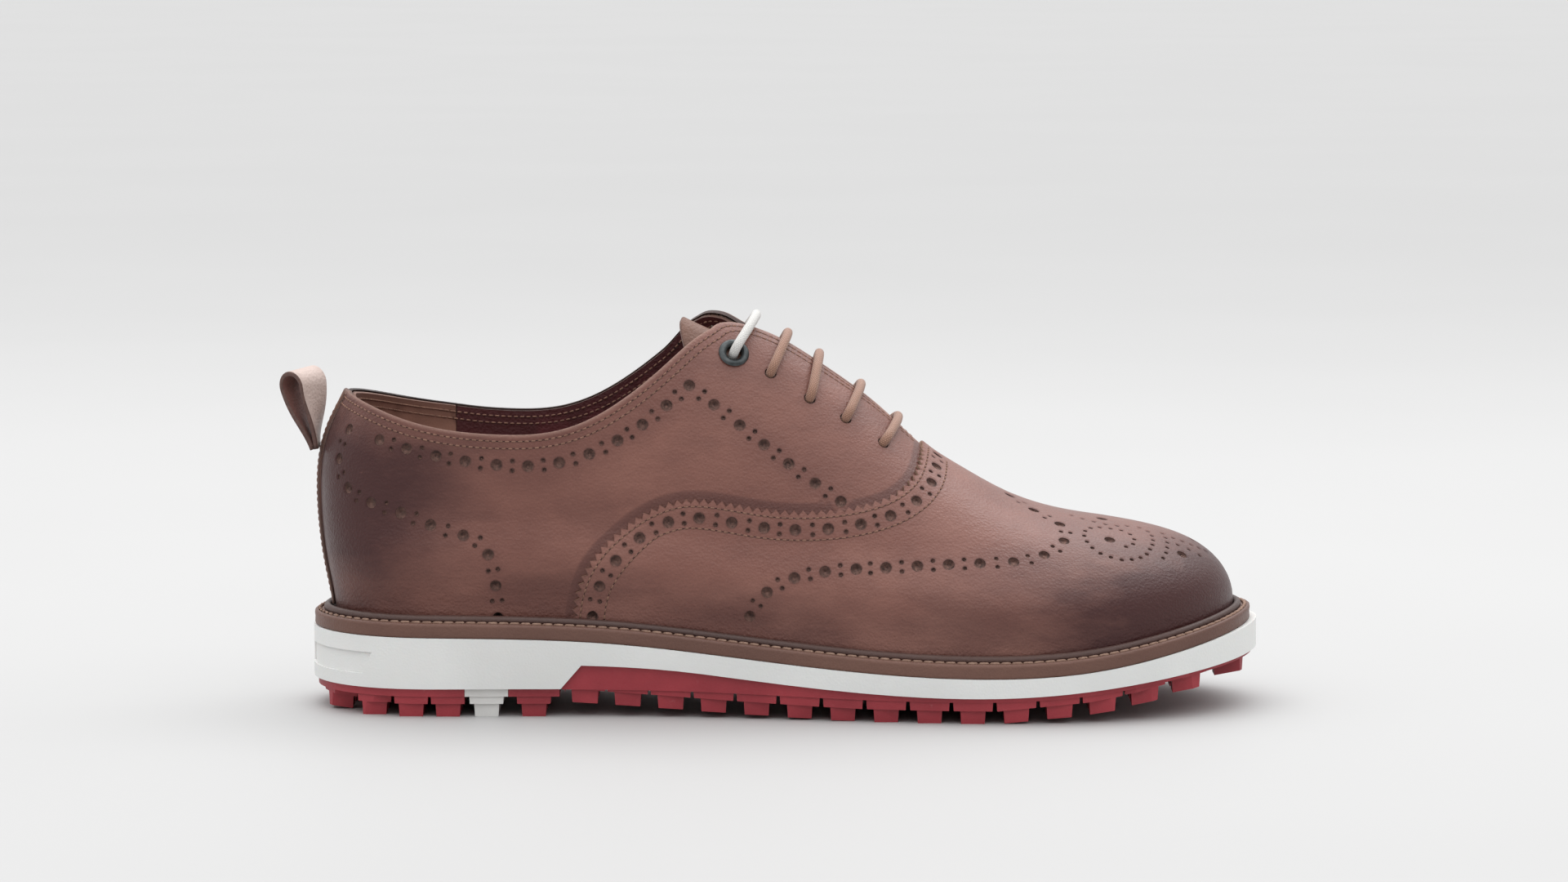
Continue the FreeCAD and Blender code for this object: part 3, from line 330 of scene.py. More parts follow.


# Name and colours (light, middle, dark), then roughness, burnish with painted shade, and grain where they
# differ from the usual.
LEATHERS = {
    "vamp": ("vamp_leather", TAN, BROWN, DARK),
    "quarter": ("quarter_leather", (0.212, 0.088, 0.066), (0.150, 0.056, 0.042), DARK),
    "strap": ("strap_leather", (0.190, 0.090, 0.058), (0.130, 0.060, 0.040), DARK, 0.5, 0.3),
    # the tab's outer face is painted far lighter than its leather, a painted highlight
    "tab": ("tab_leather_painted_highlight", (0.560, 0.450, 0.410), (0.470, 0.360, 0.320), (0.2, 0.12, 0.1), 0.5, 0.0),
    "tab_inside": ("tab_inside", (0.190, 0.085, 0.070), (0.130, 0.055, 0.045), DARK, 0.6, 0.0),
    "tongue": ("tongue_leather", (0.200, 0.095, 0.062), (0.140, 0.063, 0.042), DARK, 0.5, 0.2),
    "red": ("red_lining", (0.150, 0.034, 0.038), (0.105, 0.022, 0.026), (0.045, 0.014, 0.014), 0.5, 0.2),
    "grip": ("grip_lining", (0.350, 0.180, 0.130), (0.270, 0.132, 0.095), (0.10, 0.045, 0.032),
             0.7, 0.1, 0.3),
    "footbed": ("footbed_leather", (0.150, 0.040, 0.035), (0.110, 0.026, 0.024), (0.04, 0.01, 0.01), 0.6, 0.2),
    "welt": ("welt_leather", (0.165, 0.080, 0.058), (0.125, 0.058, 0.042), (0.06, 0.026, 0.02), 0.5, 0.3, 0.6),
    "rand": ("rand_leather", (0.080, 0.038, 0.030), (0.055, 0.025, 0.020), (0.03, 0.013, 0.011),
             0.45, 0.3, 0.5),
}
# Name and colours (light, dark), then roughness.
FIBRES = {
    "tab_edge": ("tab_edge", (0.120, 0.060, 0.048), (0.075, 0.036, 0.029), 0.6),
    # the holes' walls are painted dark as the shade inside them
    "hole": ("hole_wall_painted_shade", (0.070, 0.030, 0.024), (0.040, 0.017, 0.014), 0.8),
    "hole_floor": ("hole_floor", (0.215, 0.110, 0.085), (0.150, 0.072, 0.056), 0.8),
    # the needle holes' dark colour is painted shade
    "pit": ("needle_hole_painted_shade", (0.040, 0.016, 0.013), (0.025, 0.010, 0.008), 0.9),
    "raw_edge": ("raw_edge", (0.300, 0.175, 0.115), (0.170, 0.085, 0.055), 0.8),
    "pale_edge": ("pale_edge", (0.330, 0.200, 0.160), (0.240, 0.135, 0.105), 0.7),
    # the medial quarter's cut edge, painted dark as shade
    "painted_shade_edge": ("painted_shade_edge", (0.060, 0.030, 0.025), (0.035, 0.016, 0.014), 0.6),
    "welt_thread": ("welt_thread", (0.300, 0.190, 0.140), (0.200, 0.115, 0.082)),
    "thread": ("upper_thread", (0.250, 0.130, 0.090), (0.160, 0.078, 0.053)),
    "cork": ("cork", (0.42, 0.27, 0.15), (0.22, 0.13, 0.07)),
    "aglet": ("aglet_sleeve", (0.25, 0.13, 0.08), (0.18, 0.09, 0.05), 0.3),
}


def make_materials():
    looks = {key: leather(*recipe) for key, recipe in LEATHERS.items()}
    looks.update((key, plain_fibre(*recipe)) for key, recipe in FIBRES.items())
    looks.update({
        "brown_cord": cord_material("brown_cord", (0.440, 0.245, 0.165), (0.240, 0.120, 0.080)),
        "white_cord": cord_material("white_cord", (0.760, 0.750, 0.730), (0.560, 0.550, 0.530)),
        "red_rubber": rubber("red_rubber", (0.345, 0.036, 0.048), (0.255, 0.024, 0.034)),
        "white_rubber": rubber("white_rubber", (0.680, 0.675, 0.660), (0.600, 0.590, 0.570)),
        "foam": foam("white_foam", (0.730, 0.728, 0.715), (0.665, 0.663, 0.650)),
        "inner_foam": foam("footbed_foam", (0.20, 0.20, 0.20), (0.15, 0.15, 0.15)),
        "gunmetal": metal("gunmetal", (0.085, 0.092, 0.094), (0.040, 0.045, 0.047), 0.30),
        "steel": metal("spring_steel", (0.40, 0.40, 0.41), (0.28, 0.28, 0.29), 0.3),
        "board": cloth("fibre_board", (0.45, 0.34, 0.24), (0.32, 0.23, 0.16)),
        "backing": cloth("backing_cloth", (0.55, 0.50, 0.42), (0.36, 0.32, 0.27)),
    })
    return looks


# ---------------------------------------------------------------- the shoe's curves, as in the CAD


def spline(*knots):
    """A natural cubic spline through (x, value) knots, straight past its ends; takes arrays."""
    xs, ys = (np.array(column, float) for column in zip(*knots))
    n = len(xs)
    gap = np.diff(xs)
    bend = np.zeros(n)
    if n > 2:
        matrix = np.diag(2 * (gap[:-1] + gap[1:])) + np.diag(gap[1:-1], 1) + np.diag(gap[1:-1], -1)
        bend[1:-1] = np.linalg.solve(matrix, 6 * np.diff(np.diff(ys) / gap))

    def value(x):
        x = np.asarray(x, float)
        i = np.clip(np.searchsorted(xs, x) - 1, 0, n - 2)
        inside = np.clip(x, xs[0], xs[-1])
        g, t = gap[i], inside - xs[i]
        slope = (ys[i + 1] - ys[i]) / g - g * (2 * bend[i] + bend[i + 1]) / 6
        cubic = (bend[i + 1] - bend[i]) / (6 * g)
        here = ys[i] + slope * t + bend[i] * t ** 2 / 2 + cubic * t ** 3
        return here + (slope + bend[i] * t + 3 * cubic * t ** 2) * (x - inside)

    return value


def ease(x, start, end):
    """0 before start, 1 past end, with a smooth step between."""
    t = np.clip((x - start) / (end - start), 0.0, 1.0)
    return t * t * (3 - 2 * t)


HEEL, TOE, HEEL_ARC, TOE_ARC = -143.2, 149.6, -106.0, 92.0
feather_z = spline((-148, 32.8), (-90, 32.2), (-50, 30.6), (-10, 26.6), (30, 22.8), (66, 21.5), (100, 23.2),
                   (125, 27.4), (150, 33.0))
ridge_z = spline((-150, 155), (-100, 155), (-60, 150), (-36, 138.5), (-15, 127.8), (0, 122.2), (18, 110.8),
                 (36, 96.6), (50, 83.6), (60, 77.0), (75, 68.6), (90, 63.2), (105, 60.4), (122, 58.4),
                 (150, 58.2))
heel_back_x = spline((20, 0.0), (32, 0.0), (45, -2.2), (58, -4.0), (69, -4.6), (80, -4.0), (90, -1.4),
                     (98, 2.4), (104, 5.4), (130, 18.0))
topline_z = spline((-143, 103.6), (-134, 100.6), (-118, 94.9), (-102, 91.2), (-86, 89.9), (-70, 90.9),
                   (-58, 95.0), (-46, 102.4), (-34, 112.2), (-24, 120.6), (-14, 126.5), (0, 140))
lateral_half = spline((-150, 33), (-108, 33), (-60, 32.5), (-20, 36), (20, 42), (55, 47.5), (85, 49),
                      (115, 46.5), (150, 43))
medial_half = spline((-150, 32), (-108, 32), (-60, 29), (-20, 27.5), (20, 33.5), (55, 43.2), (85, 47.5),
                     (115, 46.3), (150, 44.3))
section_power = spline((-150, 3.0), (-90, 3.0), (-50, 2.4), (-15, 1.95), (25, 1.8), (60, 2.0), (100, 2.3),
                       (150, 2.3))
WELT_THICK, RAND_HEIGHT = 4.8, 2.2


def welt_z(x):
    return feather_z(x) - WELT_THICK - RAND_HEIGHT


def closing(x):
    toe = np.clip((x - TOE_ARC) / (TOE - TOE_ARC), 0.0, 1.0)
    heel = np.clip((HEEL_ARC - x) / (HEEL_ARC - HEEL), 0.0, 1.0)
    return np.sqrt(1 - toe ** 2.4) * np.sqrt(1 - heel ** 2.3)


def centre_y(x):
    return 3.5 * ease(x, 55, TOE)


def height(x):
    return (ridge_z(x) - feather_z(x)) * np.sqrt(1 - np.clip((x - 100) / (TOE - 100), 0.0, 1.0) ** 3.2)


def shape_error(x, y, z):
    """Below 0 inside the master surface of the upper, above 0 outside it."""
    station = x
    for _ in range(4):
        station = x - heel_back_x(z) * ease(-station, 60, -HEEL)
    above = np.maximum(z - feather_z(station), 0.0)
    side = np.where(y < centre_y(station), lateral_half(station), medial_half(station))
    swell = 2.2 * np.sin(np.pi * np.minimum(above / 34.0, 1.0)) ** 2
    half = np.maximum((side + swell) * closing(station), 1e-6)
    tall = np.maximum(height(station), 1e-6)
    value = ((y - centre_y(station)) / half) ** 2 + (above / tall) ** section_power(station) - 1
    return np.where((station > HEEL) & (station < TOE), value, 1.0)


def search(point_at, low, high, steps=30):
    """Bisects each line of points, point_at(distance), for where it leaves the master surface."""
    low, high = np.array(low, float), np.array(high, float)
    for _ in range(steps):
        middle = (low + high) / 2
        inside = shape_error(*point_at(middle).T) < 0
        low, high = np.where(inside, middle, low), np.where(inside, high, middle)
    return point_at(low)


# ---------------------------------------------------------------- flat coordinates on the master surface

FAN, SPINE_START, SPINE_END = 60.0, -105.0, 100.0
TILT_SCALE = 75.0      # millimetres of flat coordinate for a radian of tilt


def rays(flat):
    """Starts and directions of the rays of flat coordinates (u along the shoe, v across it)."""
    x = np.clip(flat[:, 0], SPINE_START, SPINE_END)
    lean, tilt = (flat[:, 0] - x) / FAN, flat[:, 1] / TILT_SCALE
    way = np.stack([np.sin(lean) * np.cos(tilt), np.sin(tilt), np.cos(lean) * np.cos(tilt)], 1)
    return np.stack([x, 0 * x, 0 * x], 1), way


TABLE_STEP = 1.25      # between the table's rays, in flat coordinates
TABLE_U, TABLE_V = np.arange(-200, 196, TABLE_STEP), np.arange(-104, 105, TABLE_STEP)


def make_table():
    """Ray lengths over a grid of flat coordinates, so that later points only need a smooth look-up."""
    u, v = np.meshgrid(TABLE_U, TABLE_V, indexing="ij")
    flat = np.stack([u.ravel(), v.ravel()], 1)
    starts, way = rays(flat)
    ends = search(lambda s: starts + way * s[:, None], np.full(len(flat), 5.0), np.full(len(flat), 230.0), 28)
    return np.linalg.norm(ends - starts, axis=1).reshape(u.shape)


def cubic_weights(t):
    """Catmull-Rom weights of the four grid values round a place."""
    return np.stack([-t + 2 * t ** 2 - t ** 3, 2 - 5 * t ** 2 + 3 * t ** 3, t + 4 * t ** 2 - 3 * t ** 3,
                     -t ** 2 + t ** 3]) / 2


RAY_LENGTHS = make_table()
CORNER_LIFT = 2.0      # the medial facing's top corner stands this much higher


def surface(flat):
    """Points of the master surface at flat coordinates."""
    a, b = (flat[:, 0] - TABLE_U[0]) / TABLE_STEP, (flat[:, 1] - TABLE_V[0]) / TABLE_STEP
    i = np.clip(a.astype(int), 1, len(TABLE_U) - 3)
    j = np.clip(b.astype(int), 1, len(TABLE_V) - 3)
    across, down = cubic_weights(a - i), cubic_weights(b - j)
    length = sum(across[m] * down[n] * RAY_LENGTHS[i + m - 1, j + n - 1]
                 for m in range(4) for n in range(4))
    starts, way = rays(flat)
    points = starts + way * length[:, None]
    high = ease(points[:, 2], 114.0, 123.0) * ease(points[:, 1], 0.0, 4.0)
    points[:, 2] += CORNER_LIFT * high * (1 - ease(points[:, 0], -16.0, -5.0))
    return points


def flatten(points):
    """Flat coordinates of points; all points on one ray have the same ones."""
    x = np.clip(points[:, 0], SPINE_START, SPINE_END)
    aside = points[:, 0] - x
    out = np.hypot(aside, points[:, 2])
    return np.stack([x + FAN * np.arctan2(aside, points[:, 2]), TILT_SCALE * np.arctan2(points[:, 1], out)], 1)


def tangents(flat, step=0.3):
    """Surface points, and how they move along u and v."""
    du, dv = np.array([step, 0]), np.array([0, step])
    many = surface(np.concatenate([flat, flat + du, flat - du, flat + dv, flat - dv]))
    here, a, b, c, d = np.split(many, 5)
    return here, (a - b) / (2 * step), (c - d) / (2 * step)


def unit(v):
    return v / np.maximum(np.linalg.norm(v, axis=-1, keepdims=True), 1e-12)


def normals_of(along, across):
    return unit(np.cross(along, across))


def nudge(flat, offsets):
    """Moves flat coordinates by small offsets in space."""
    _, pu, pv = tangents(flat)
    uu, uv, vv = (pu * pu).sum(1), (pu * pv).sum(1), (pv * pv).sum(1)
    a, b = (pu * offsets).sum(1), (pv * offsets).sum(1)
    det = uu * vv - uv * uv
    return flat + np.stack([(vv * a - uv * b) / det, (uu * b - uv * a) / det], 1)


# ---------------------------------------------------------------- lines on the upper


def lengths(points):
    """The distance walked to each point of a line."""
    return np.concatenate([[0], np.cumsum(np.linalg.norm(np.diff(points, axis=0), axis=1))])


def read_line(at, walk, line):
    """Points of a line at distances walked."""
    return np.stack([np.interp(at, walk, column) for column in line.T], 1)


def curve_through(knots, count=160):
    """A smooth line through two-number knots."""
    knots = np.array(knots, float)
    chord = lengths(knots)
    at = np.linspace(0, chord[-1], count)
    return np.stack([spline(*zip(chord, column))(at) for column in knots.T], 1)


def side_line(knots, side):
    """Flat coordinates of a line given by x and height, on the lateral (-1) or medial (1) side."""
    line = curve_through(knots)
    ends = search(lambda s: np.stack([line[:, 0], side * s, line[:, 1]], 1), np.zeros(len(line)),
                  np.full(len(line), 80.0))
    return flatten(ends)


def plan_line(knots, exact=False):
    """Flat coordinates of a line given by x and y, on top of the shoe."""
    line = np.array(knots, float) if exact else curve_through(knots)
    ends = search(lambda s: np.stack([line[:, 0], line[:, 1], 25 + s], 1), np.zeros(len(line)),
                  np.full(len(line), 150.0))
    return flatten(ends)


def resample(flat, step, closed=False):
    """Evenly spaced points, by distance in space, along a line in flat coordinates."""
    line = np.concatenate([flat, flat[:1]]) if closed else flat
    walk = lengths(surface(line))
    keep = np.concatenate([[True], np.diff(walk) > 1e-6])
    walk, line = walk[keep], line[keep]
    count = max(int(round(walk[-1] / step)), 1)
    at = np.linspace(0, walk[-1], count + 1)
    return read_line(at[:-1] if closed else at, walk, line)


def sideways(flat, distance):
    """The line moved to its left, seen from outside, by a distance in space."""
    here, pu, pv = tangents(flat)
    forward = unit(np.gradient(here, axis=0))
    return nudge(flat, np.cross(normals_of(pu, pv), forward) * np.reshape(distance, (-1, 1)))


FEATHER_DROP = 3.0     # the upper goes on this far behind the rand
MEDIAL_LIFT = 3.0      # the medial collar stands this much higher
facing_y = spline((-40, 5.8), (10, 5.25), (36, 3.15), (50, 0.15))


def heel_line(heights, y=0.0):
    """Flat coordinates of points up the back of the heel, at a distance from its middle."""
    z = np.asarray(heights, float)
    return flatten(search(lambda s: np.stack([-110 - s, 0 * z + y, z], 1), 0 * z, 0 * z + 60.0))


def feather_line(x_from, x_to, side, count=120):
    """Flat coordinates of the upper's lower edge along one side, closer together towards heel and toe."""
    middle, reach = (HEEL + TOE) / 2, (TOE - HEEL) / 2
    first, last = (math.acos(np.clip((middle - x) / reach, -1, 1)) for x in (x_from, x_to))
    x = middle - reach * np.cos(np.linspace(first, last, count))
    half = (lateral_half(x) if side < 0 else medial_half(x)) * closing(x)
    return flatten(np.stack([x, centre_y(x) + side * half, feather_z(x) - FEATHER_DROP], 1))


def feather_round(start, end, middle):
    """The upper's lower edge from x = start on the lateral side, round past x = middle, to x = end."""
    return np.concatenate([feather_line(start, middle, -1), feather_line(middle, end, 1)[1:]])


def collar_line(side, drop=0.0):
    """Flat coordinates of one quarter's topline, from the heel's middle to where it meets the facing."""
    x = np.concatenate([np.linspace(-138.2, -132, 30), np.linspace(-131, -8, 120)])
    z = topline_z(x) - drop + (MEDIAL_LIFT * ease(x, -140, -100) if side > 0 else 0.0)
    inside = shape_error(x, 0 * x + 0.01, z) < 0
    line = search(lambda s: np.stack([x, side * s, z], 1), 0 * x, 0 * x + 80.0)[inside]
    past = np.where((line[:, 0] > -60) & (np.abs(line[:, 1]) < facing_y(line[:, 0])))[0]
    line = line[:past[0]] if len(past) else line
    return np.concatenate([heel_line([topline_z(-138.6) - drop]), flatten(line)])


def facing_line(side, start, stop, widen):
    """Flat coordinates of a facing's edge, forwards along the throat."""
    x = np.linspace(start, stop, 60)
    return plan_line(np.stack([x, side * (facing_y(x) + widen)], 1), exact=True)


def joined_corner(first, second, reach, count=9):
    """Two flat lines that meet, joined by a smooth bend that starts a distance before their corner."""
    first, second = resample(first, 1.0), resample(second, 1.0)
    corner = (first[-1] + second[0]) / 2
    a, b = first[-1 - reach], second[reach]
    t = np.linspace(0, 1, count + 2)[1:-1, None]
    bend = (1 - t) ** 2 * a + 2 * t * (1 - t) * corner + t ** 2 * b
    return np.concatenate([first[:-reach], bend, second[reach:]])


def throat_line(side, drop=0.0, stop=50.0, widen=0.0):
    """The quarter's whole top edge: collar, rounded top corner and facing."""
    collar = collar_line(side, drop)
    start = surface(collar[-1:])[0, 0]
    return joined_corner(collar, facing_line(side, start, stop, widen), 7)


# ---------------------------------------------------------------- meshes


def link(name, mesh, material, body="shoe"):
    obj = bpy.data.objects.new(name, mesh)
    bpy.context.scene.collection.objects.link(obj)
    for entry in material if isinstance(material, (list, tuple)) else [material]:
        mesh.materials.append(entry)
    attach(obj, body)
    return obj


def quads(rows, count, wrap=False):
    """Faces between closed rings of count points; wrap joins the last ring to the first."""
    return [(r * count + k, r * count + (k + 1) % count, (r + 1) % rows * count + (k + 1) % count,
             (r + 1) % rows * count + k) for r in range(rows - (not wrap)) for k in range(count)]


def capped(rows, count):
    """Faces of rings joined into a tube with flat ends."""
    last = (rows - 1) * count
    return quads(rows, count) + [tuple(reversed(range(count))), tuple(range(last, last + count))]


def mark_seams_and_painted_shade(mesh, values):
    """Stores each point's share of the dark seam colour, which the leather reads; the same share also paints
    shade at hole mouths and behind the vamp's edge.
    """
    attribute = mesh.attributes.new("seam", "FLOAT", "POINT")
    attribute.data.foreach_set("value", np.asarray(values, np.float32))


def new_mesh(name, points, faces, normals=None, smooth=True):
    mesh = bpy.data.meshes.new(name)
    mesh.from_pydata((np.asarray(points) * MM).tolist(), [], [tuple(map(int, f)) for f in faces])
    if smooth:
        mesh.shade_smooth()
    if normals is not None:
        mesh.normals_split_custom_set_from_vertices(np.asarray(normals).tolist())
    return mesh


def inside_loop(points, loop):
    """Which points lie in a closed flat loop."""
    x, y = points[:, 0][:, None], points[:, 1][:, None]
    a, b = loop, np.roll(loop, -1, 0)
    crosses = (a[:, 1] > y) != (b[:, 1] > y)
    slope = (b[:, 0] - a[:, 0]) / np.where(b[:, 1] == a[:, 1], 1e-12, b[:, 1] - a[:, 1])
    return (crosses & (x < a[:, 0] + slope * (y - a[:, 1]))).sum(1) % 2 == 1


def round_hole(centre, radius, count):
    """Flat coordinates of a ring round a flat centre."""
    centres = np.repeat(np.array([centre]), count, 0)
    _, pu, pv = tangents(centres[:1])
    e1 = unit(pu)[0]
    e2 = np.cross(normals_of(pu, pv)[0], e1)
    turn = 2 * np.pi * np.arange(count) / count
    return nudge(centres, radius * (np.cos(turn)[:, None] * e1 + np.sin(turn)[:, None] * e2))


HOLE_DEPTH = 0.62      # how far down a blind hole's floor lies
EDGE_WIDTH, EDGE_DROP = 0.38, 0.32      # how far a cut edge's rounding reaches in, and how far it drops
RIM_WIDTH, RIM_DROP = 0.42, 0.30        # the same at a hole's rim
STRIP_SLOT, FLOOR_SLOT, EDGE_SLOT = 2, 3, 4      # material slots after the face and the holes' walls


class Panel:
    """A leather piece cut to an outline on the master surface, with holes and stitch grooves."""

    def __init__(self, outline, outer, inner, spacing=3.0, edge_shade=0.25):
        self.outer, self.inner, self.spacing = outer, inner, spacing
        self.flat, self.depth, self.seam, self.loops, self.lines = [], [], [], [], []
        self.holes, self.centres = [], []
        self.outline = outline[::-1] if area_of(outline) < 0 else outline
        self.edge = self.ring(self.outline, outer + EDGE_DROP, edge_shade)
        self.ring(closed_offset(self.outline, EDGE_WIDTH), outer, edge_shade / 2)

    def add(self, flat, depth, seam=0.0):
        """Adds points at a depth, with their share of the seam colour, and gives their numbers."""
        ids = sum(len(f) for f in self.flat) + np.arange(len(flat))
        self.flat.append(flat)
        self.depth.append(np.full(len(flat), float(depth)))
        self.seam.append(np.full(len(flat), float(seam)))
        return ids

    def ring(self, flat, depth, seam=0.0):
        self.loops.append(self.add(flat, depth, seam))
        return self.loops[-1]

    def hole(self, centre, radius, through=False):
        count = 14 if radius > 1.2 else 9
        self.centres.append((*centre, radius))
        # painted shade: the face darkens into each hole's mouth
        self.ring(round_hole(centre, radius + RIM_WIDTH, count), self.outer, 0.25)
        self.holes.append((self.ring(round_hole(centre, radius, count), self.outer + RIM_DROP, 0.8), through))

    def groove(self, line, depth=0.22, half=0.42):
        """A shallow channel that a stitch row lies in."""
        for offset, deep, seam in ((-half, 0.0, 0.1), (0.0, depth, 0.75), (half, 0.0, 0.1)):
            path = sideways(line, offset) if offset else line
            self.lines.append(self.add(path, self.outer + deep, seam))

    def clear_of_holes(self, points, share, gap):
        clear = np.ones(len(points), bool)
        for u, v, radius in self.centres:
            clear &= np.hypot(points[:, 0] - u, points[:, 1] - v) > radius * share + gap
        return clear

    def shade_line(self, line, seam):
        """A line on the face with its own share of the dark seam colour, used as a painted shadow."""
        line = resample(line, 1.6)
        line = line[inside_loop(line, self.outline) & self.clear_of_holes(line, 1.0, 1.0)]
        ids = self.add(line, self.outer, seam)
        breaks = np.where(np.linalg.norm(np.diff(line, axis=0), axis=1) > 2.0)[0] + 1
        self.lines += list(np.split(ids, breaks))

    def fill(self):
        """Points spread over the inside, clear of the rings and lines."""
        low, high = self.outline.min(0), self.outline.max(0)
        step, rows = self.spacing, []
        for k, v in enumerate(np.arange(low[1], high[1], step * 0.87)):
            u = np.arange(low[0] + (k % 2) * step / 2, high[0], step)
            rows.append(np.stack([u, np.full(len(u), v)], 1))
        points = np.concatenate(rows)
        points = points[inside_loop(points, self.outline)]
        fixed, clear = np.concatenate(self.flat), self.clear_of_holes(points, 1.3, 0.3)
        for part in np.array_split(np.arange(len(points)), max(len(points) // 500, 1)):
            clear[part] &= np.linalg.norm(points[part][:, None] - fixed[None], axis=2).min(1) > step * 0.45
        self.add(points[clear], self.outer)

    def triangulate(self, flat):
        """Corners, the point each came from (-1 if new), the point each is nearest to, and triangles."""
        edges = [(a, b) for ids in self.loops for a, b in zip(ids, np.roll(ids, -1))]
        edges += [(a, b) for ids in self.lines for a, b in zip(ids, ids[1:])]
        edges = [(int(a), int(b)) for a, b in edges]
        verts, _, faces, origin, _, _ = delaunay_2d_cdt([Vector(p) for p in flat.tolist()], edges, [], 1, 1e-5)
        source = np.array([o[0] if o else -1 for o in origin])
        out = np.array([v[:] for v in verts])
        near = source.copy()
        for lost in np.where(source < 0)[0]:
            near[lost] = np.argmin(((flat - out[lost]) ** 2).sum(1))
        owner = -np.ones(len(flat), int)
        for k, (ids, _) in enumerate(self.holes):
            owner[ids] = k
        faces = np.array([f for f in faces if len(f) == 3])
        held = owner[near[faces]]
        faces = faces[~((held[:, 0] >= 0) & (held == held[:, :1]).all(1))]
        flipped = area2(out, faces) < 0
        faces[flipped] = faces[flipped][:, ::-1]
        return out, source, near, faces

    def build(self, name, material, body="shoe", shape=None, closed=False, strip=None, edge_slot=0):
        self.fill()
        flat, depth, seam = (np.concatenate(a) for a in (self.flat, self.depth, self.seam))
        out, source, near, faces = self.triangulate(flat)
        here, normal = shape(out) if shape else leather_face(out)
        points = here - normal * depth[near][:, None]
        index = {int(s): k for k, s in enumerate(source) if s >= 0}
        walls, extra, extra_normals, extra_seam, slots = [], [], [], [], [0] * len(faces)
        base = len(points)

        def wall(ids, deep, cap):
            ids = [index[int(i)] for i in ids if int(i) in index]
            first = base + len(extra)
            ring = here[ids] - normal[ids] * deep
            extra.extend(ring)
            middle = ring.mean(0)
            extra_normals.extend(unit(ring - middle) * (-1 if cap is not None else 1))
            extra_seam.extend([1.0] * len(ids))
            count = len(ids)
            for k in range(count):
                a, b = ids[k], ids[(k + 1) % count]
                c, d = first + (k + 1) % count, first + k
                walls.append((a, b, c, d) if cap is not None else (b, a, d, c))
                slots.append(1 if cap is not None else edge_slot)
            if cap:
                walls.append(tuple(first + k for k in range(count)))
                slots.append(FLOOR_SLOT)

        wall(self.edge, self.inner, None)
        for ids, through in self.holes:
            wall(ids, self.inner if through else self.outer + HOLE_DEPTH, not through)
        all_points = np.concatenate([points, np.array(extra)])
        all_normals = np.concatenate([normal, np.array(extra_normals)])
        all_faces = [tuple(f) for f in faces.tolist()] + walls
        if closed:
            back = len(all_points)
            lower = here - normal * self.inner
            all_points = np.concatenate([all_points, lower])
            all_normals = np.concatenate([all_normals, -normal])
            all_faces += [tuple(int(i) + back for i in reversed(f)) for f in faces.tolist()]
            extra_seam.extend(np.zeros(len(lower)) if strip is None else near_line(out, *strip))
            slots += [0 if strip is None else STRIP_SLOT] * len(faces)
        mesh = new_mesh(name, all_points, all_faces, all_normals)
        mesh.polygons.foreach_set("material_index", slots)
        mark_seams_and_painted_shade(mesh, np.concatenate([seam[near], extra_seam]))
        return link(name, mesh, material, body)


def leather_face(flat):
    """Points of the upper's face and its outward directions there."""
    here, pu, pv = tangents(flat)
    return here, normals_of(pu, pv)


def near_line(flat, line, width):
    """1 within a distance of a flat line, 0 away from it."""
    places, marks = surface(flat), surface(resample(line, 1.5))
    gap = np.min([np.linalg.norm(places - mark, axis=1) for mark in marks], axis=0)
    return np.where(gap < width, 1.0, 0.0)


def area_of(loop):
    nxt = np.roll(loop, -1, 0)
    return 0.5 * (loop[:, 0] * nxt[:, 1] - nxt[:, 0] * loop[:, 1]).sum()


def area2(points, faces):
    a, b, c = (points[faces[:, k]] for k in range(3))
    return (b[:, 0] - a[:, 0]) * (c[:, 1] - a[:, 1]) - (b[:, 1] - a[:, 1]) * (c[:, 0] - a[:, 0])


def closed_offset(loop, distance):
    """A closed anticlockwise loop moved inwards."""
    here, pu, pv = tangents(loop)
    forward = unit(np.roll(here, -1, 0) - np.roll(here, 1, 0))
    return nudge(loop, np.cross(normals_of(pu, pv), forward) * distance)


def pinked(line, tooth=2.9, depth=1.7):
    """A gimped edge: teeth to the left of the line."""
    line = resample(line, tooth / 2)
    distance = np.where(np.arange(len(line)) % 2 == 0, depth, 0.0)
    distance[0] = distance[-1] = 0
    return sideways(line, distance)


# ---------------------------------------------------------------- stitches


def pit():
    """The mouth of a needle hole: a small dish, painted dark as the shade inside the hole."""
    sides, radius = 7, 0.42
    points = [(radius * math.cos(2 * math.pi * k / sides), radius * math.sin(2 * math.pi * k / sides), 0.0)
              for k in range(sides)] + [(0, 0, -0.08)]
    return np.array(points), [(k, (k + 1) % sides, sides) for k in range(sides)]


def capsule(length, radius):
    """A short thread lying along X, with rounded ends."""
    sections = [(-0.5, 0.45), (-0.36, 0.9), (0.0, 1.0), (0.36, 0.9), (0.5, 0.45)]
    sides = 6
    points = []
    for along, share in sections:
        for k in range(sides):
            turn = 2 * math.pi * k / sides
            points.append((along * length, radius * share * math.cos(turn), radius * share * math.sin(turn)))
    return np.array(points), capped(len(sections), sides)


def strew(name, template, frames, material, body="shoe"):
    """Copies a template to (origin, x axis, z axis) frames, as one mesh."""
    shape, faces = template
    origins, ahead, up = frames
    side = unit(np.cross(up, ahead))
    up = np.cross(ahead, side)
    points = origins[:, None] + shape[None, :, :1] * ahead[:, None] + shape[None, :, 1:2] * side[:, None] \
        + shape[None, :, 2:] * up[:, None]
    count = len(shape)
    every = [tuple(i + k * count for i in f) for k in range(len(origins)) for f in faces]
    return link(name, new_mesh(name, points.reshape(-1, 3), every), material, body)


